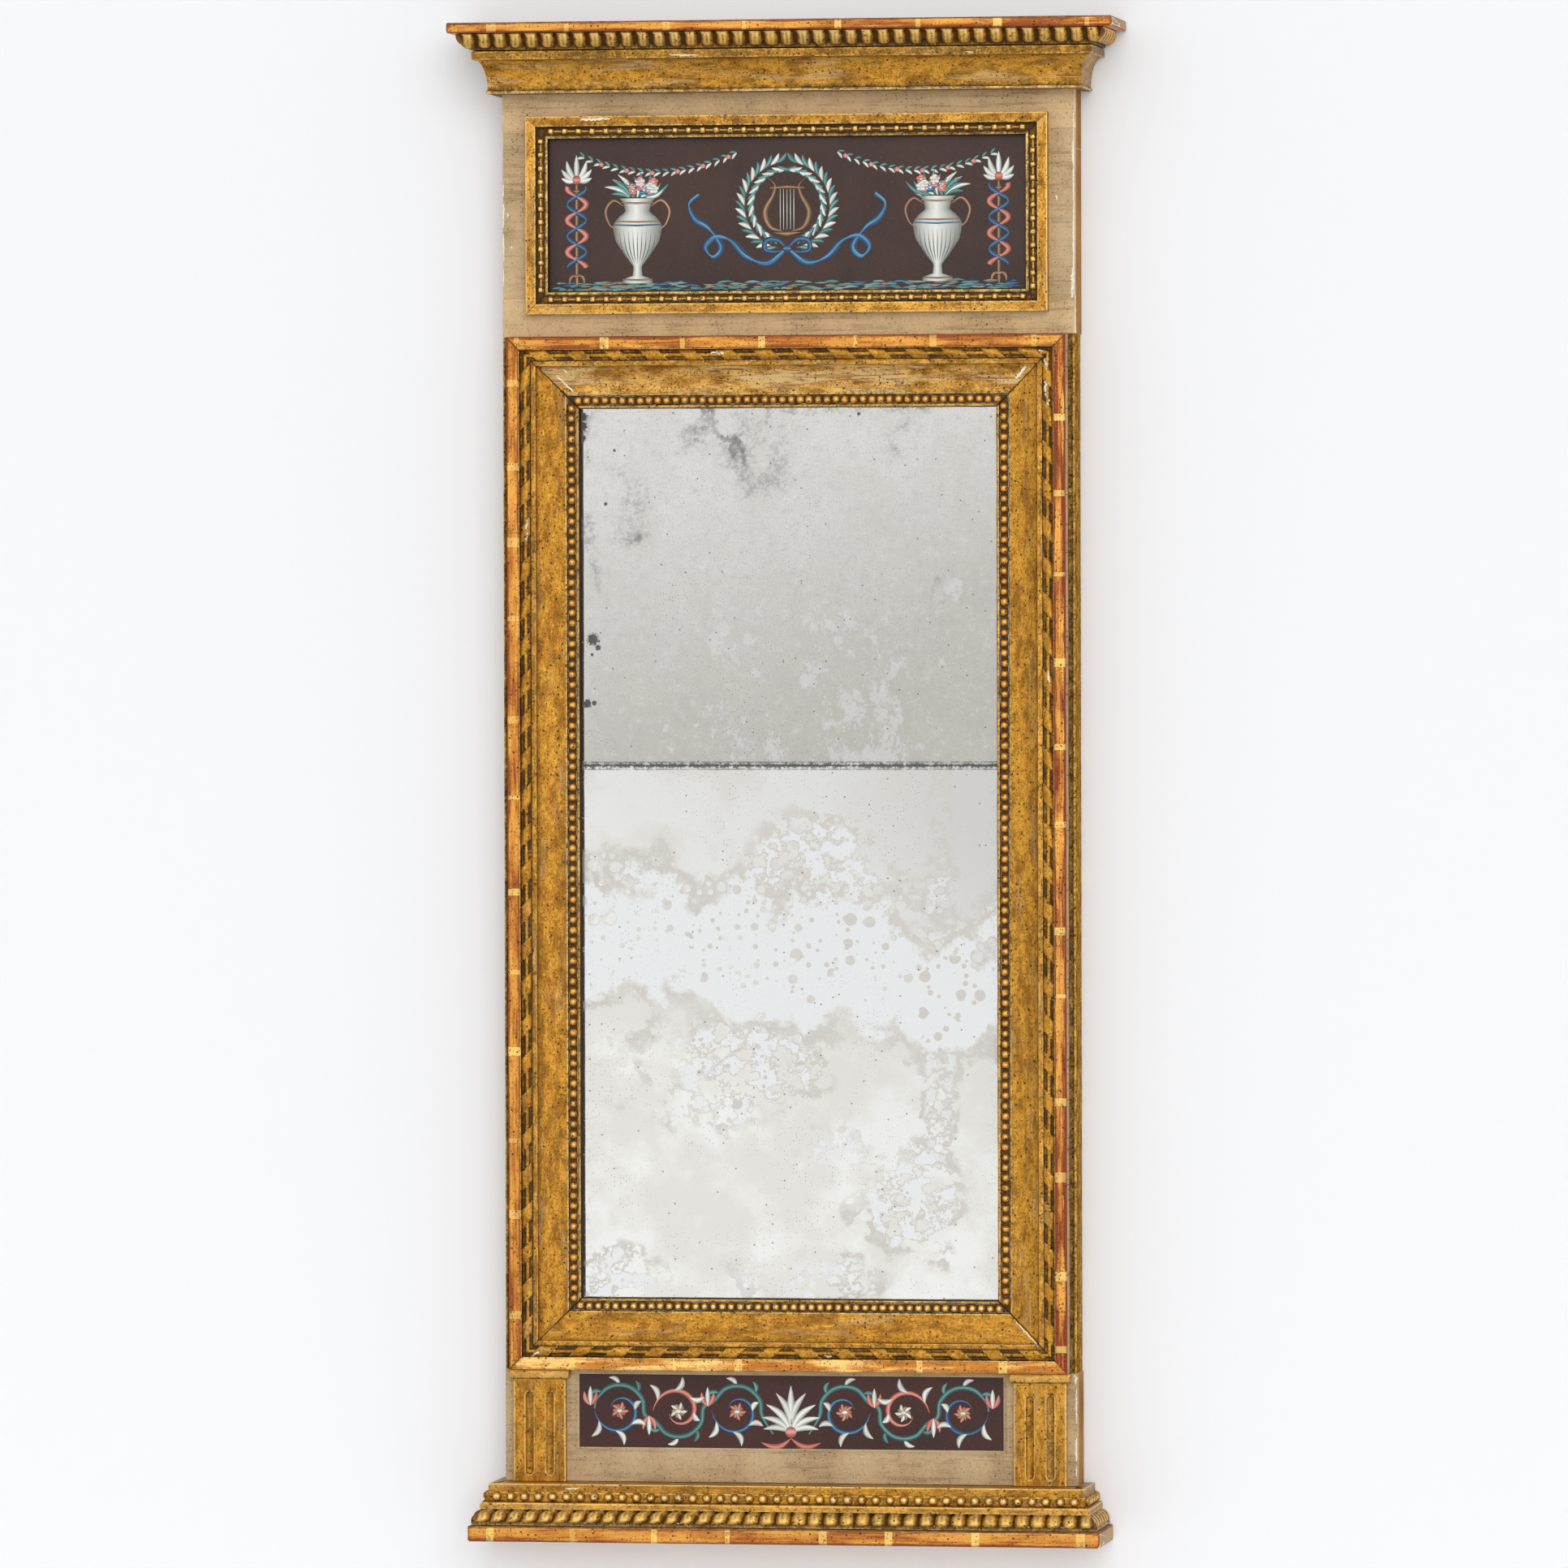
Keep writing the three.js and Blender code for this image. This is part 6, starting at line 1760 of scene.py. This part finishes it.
def paint_swag(art, start, end, sag):
    """A hanging garland of leaves and small flowers."""
    wide, rise = end[0] - start[0], end[1] - start[1]
    for t in np.linspace(0, 1, 19):
        x = start[0] + wide * t
        z = start[1] + rise * t - sag * 4 * t * (1 - t)
        slope = math.degrees(math.atan2(sag * 4 * (2 * t - 1), wide))
        for turn, tones in ((28, TEAL), (-28, WHITE)):
            art.leaf(x, z, slope + turn, 8, 3.0, tones, 0.1, 1)
        if round(t * 18) % 3 == 1:
            art.flower(x, z, 2.6, CORAL, 2)


def paint_picture():
    """The frieze's panel: a lyre in a wreath between two urns and two staffs."""
    low = corners("picture_frame_bottom")[0][2] + PICTURE_WIDTH
    art = Painting("picture_glass", (0.0, low))
    half_width, turf = 238.0, 9
    staff, urn, urn_mouth = 211, 150, 93
    lyre, wreath_radius = 84, 43.0
    paint_ground_line(art, half_width, turf)
    paint_swag(art, (50, 136), (203, 132), 17)
    paint_staff(art, staff)
    paint_urn(art, urn)
    paint_bunch(art, urn, urn_mouth)
    paint_wreath(art, lyre, wreath_radius)
    paint_lyre(art, lyre)
    paint_bow(art, lyre - wreath_radius)
    art.show("picture_brushwork", [ORNAMENT], slot="painted_glass")


# The scrolls on the right of the plinth's panel: their centres, with 1 where the stalk runs over
# the scroll and -1 where it runs under it, and their reach
SCROLL_STEP = 59.0
SCROLLS = [(54.0 + SCROLL_STEP * k, 1 if k % 2 == 0 else -1) for k in range(3)]
SCROLL_REACH = 25.5


def stalk_point(centre, up, a):
    """A point of the stalk, at an angle round a scroll."""
    return centre - SCROLL_REACH * math.cos(a), up * SCROLL_REACH * math.sin(a)


def paint_stalk(art):
    """The stalk that runs over and under the scrolls in turn."""
    angles = -0.15, 0.45, 1.05, 1.57, 2.1, 2.7
    turns = [(18, -22), *[stalk_point(*scroll, a) for scroll in SCROLLS for a in angles],
             (SCROLLS[-1][0] + SCROLL_REACH, 2)]
    art.stroke(smooth(turns, 2.0), 4.8, TEAL, even_shape, 2)


def paint_rosette(art, centre, petals):
    for i in range(10):
        length, tones = (9.0, petals) if i % 2 else (7.0, BRONZE)
        art.leaf(centre, 0, 36 * i, length, 4.4, tones, 0.1, 4)
    art.dot(centre, 0, 2.6, WHITE, 5)


def paint_scroll(art, centre, up, tones):
    """A scroll of acanthus round a rosette, with leaves along it, on its stalk and beyond it."""
    curl = spiral((centre, 0), SCROLL_REACH, 9.5, 0.0, -0.95 * up)
    art.stroke(curl, 5.0, tones, tapered, 3)
    paint_rosette(art, centre, CORAL if tones is BLUE else WHITE)
    for share, length, turn in ((0.1, 17, -38), (0.24, 16, -42), (0.4, 14, -46), (0.56, 10, -50)):
        at = curl[int(share * (len(curl) - 1))]
        angle = math.degrees(math.atan2(at[1], at[0] - centre)) + turn * up
        art.leaf(*at, angle, length, 6.0, WHITE, -0.22 * up, 4)
    for share, length, shade in ((0.25, 12, TEAL), (0.5, 13, WHITE), (0.75, 12, TEAL)):
        x, z = stalk_point(centre, up, math.pi * share)
        outward = math.degrees(math.atan2(z, x - centre))
        art.leaf(x, z, outward - up * 55, length, 5.0, shade, 0.2 * up, 1)
    gap = centre + SCROLL_STEP / 2
    for turn, length, shade in ((-24, 15, CORAL), (0, 19, WHITE), (24, 15, CORAL)):
        art.leaf(gap, up * 5, up * 90 + turn, length, 5.2, shade, 0.12 * np.sign(turn), 3)


def paint_scrolls():
    """The plinth's panel: a palmette between scrolls of acanthus with rosettes in them."""
    middle = corners("plinth_board")[0][2] + PLINTH_MARGIN + PLINTH_WINDOW[1] / 2
    art = Painting("plinth_glass", (0.0, middle))
    art.palmette(0, -20, 4, 21, (46, 4.6), (8.2, 0.5), -0.12, twin=False)
    art.dot(0, -20, 5.6, CORAL, 5, twin=False)
    for side in (-1, 1):
        art.leaf(0, -26, 90 - 98 * side, 30, 6, CORAL, -0.22 * side, twin=False)
    paint_stalk(art)
    for (centre, up), tones in zip(SCROLLS, (BLUE, CORAL, BLUE)):
        paint_scroll(art, centre, up, tones)
    art.show("plinth_brushwork", [ORNAMENT], slot="painted_glass")


# ---------------------------------------------------------------------------------------------
# Camera, light and wall
# ---------------------------------------------------------------------------------------------

YAW, PITCH, ROLL = math.radians(9.24), math.radians(0.85), math.radians(-0.146)
DISTANCE = 10.552
TARGET = Vector((-0.0065, -0.040, -0.7222))
FOCAL_PIXELS = 13147.0
FRAME_PIXELS = 1932.0
SENSOR = 36.0


def make_camera():
    data = bpy.data.cameras.new("camera")
    data.sensor_width = SENSOR
    data.lens = SENSOR * FOCAL_PIXELS / FRAME_PIXELS
    data.clip_end = 60.0
    camera = add_object("camera", data)
    back = Vector((math.sin(YAW) * math.cos(PITCH), -math.cos(YAW) * math.cos(PITCH),
                   math.sin(PITCH)))
    level = Vector((math.cos(YAW), math.sin(YAW), 0.0))
    upright = back.cross(level)
    right = math.cos(ROLL) * level + math.sin(ROLL) * upright
    up = -math.sin(ROLL) * level + math.cos(ROLL) * upright
    turn = Matrix((right, up, back)).transposed()
    camera.matrix_world = Matrix.Translation(TARGET + back * DISTANCE) @ turn.to_4x4()
    bpy.context.scene.camera = camera


def make_world():
    """A plain pale room: soft light all round, and white where the camera or a gloss sees it."""
    world = bpy.data.worlds.new("room")
    world.use_nodes = True
    room = Nodes(world.node_tree)
    light = room.node("Background", {"Color": (1.0, 1.0, 1.0), "Strength": 0.7})
    seen = room.node("Background", {"Color": (1.0, 1.0, 1.0), "Strength": 1.0})
    ray = room.node("LightPath").outputs
    either = room.node(
        "Math", {0: ray["Is Camera Ray"], 1: ray["Is Glossy Ray"]}, operation="MAXIMUM")
    mix = room.node("MixShader", {0: either.outputs[0], 1: light.outputs[0], 2: seen.outputs[0]})
    room.node("OutputWorld", {0: mix.outputs[0]})
    bpy.context.scene.world = world


def wall_paint():
    """White wall paint. From behind, the wall is seen through."""
    f = Finish("wall_paint", tint(243, 244, 246))
    f.close(Roughness=0.9)
    camera_ray = f.node("LightPath").outputs["Is Camera Ray"]
    glow = f.node("Emission", {"Color": tint(244, 244, 245), "Strength": 1.0}).outputs[0]
    front = f.node("MixShader", {0: f.times(camera_ray, 0.05), 1: f.surface.outputs[0], 2: glow})
    behind = f.node("NewGeometry").outputs["Backfacing"]
    clear = f.node("BsdfTransparent").outputs[0]
    both = f.node("MixShader", {0: behind, 1: front.outputs[0], 2: clear})
    f.feed(f.output.inputs[0], both.outputs[0])
    return f.material


def make_wall():
    """A plain pale wall behind the mirror, curving into a floor well below it.

    The wall is open where the mirror hides it, so that light reaches the mirror's back.
    """
    plane, half_width, reach, above, below = 0.002, 3.5, 4.5, 2.6, 0.55
    radius, margin, hole_side = 0.35, 0.03, 0.27
    floor = CAD_BOX[0].z - below
    hole_top, hole_bottom = CAD_BOX[1].z - margin, CAD_BOX[0].z + margin
    profile = [(plane, hole_bottom), (plane, floor + radius)]
    for step in range(1, 9):
        angle = math.radians(90 * step / 8)
        drop = radius * (1 - math.sin(angle))
        profile.append((plane - radius * (1 - math.cos(angle)), floor + drop))
    profile.append((-reach, floor))
    work = bmesh.new()

    def sheet(x0, x1, line):
        rows = [[work.verts.new((x, y, z)) for y, z in line] for x in (x0, x1)]
        for i in range(len(line) - 1):
            work.faces.new((rows[0][i], rows[0][i + 1], rows[1][i + 1], rows[1][i]))

    sheet(-half_width, half_width, [(plane, CAD_BOX[1].z + above), (plane, hole_top)])
    sheet(-half_width, -hole_side, [(plane, hole_top), (plane, hole_bottom)])
    sheet(hole_side, half_width, [(plane, hole_top), (plane, hole_bottom)])
    sheet(-half_width, half_width, profile)
    mesh = bpy.data.meshes.new("wall")
    work.to_mesh(mesh)
    work.free()
    mesh.polygons.foreach_set("use_smooth", np.ones(len(mesh.polygons), bool))
    mesh.materials.append(wall_paint())
    add_object("wall", mesh)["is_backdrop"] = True


def make_sun(name, direction, strength, angle):
    """A large, even lamp a long way off."""
    data = bpy.data.lights.new(name, "SUN")
    data.energy = strength
    data.angle = math.radians(angle)
    lamp = add_object(name, data)
    lamp.rotation_euler = Vector(direction).to_track_quat("-Z", "Y").to_euler()


make_camera()
make_world()
make_wall()
make_sun("key", (-0.25, 1.0, -0.3), 1.1, 40)

build_main_frame()
build_picture_frame()
build_frieze_boards()
build_slabs()
build_cornice()
build_base()
build_pilasters()
build_caps()
build_edge_mouldings()
build_cheeks()
dress_cad_nodes()
lose_gilding()
paint_picture()
paint_scrolls()

bpy.context.scene.view_settings.view_transform = "Standard"

boxes = {"cad": CAD_BOX, "visual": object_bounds()}
{key: [list(corner) for corner in box] for key, box in boxes.items()}
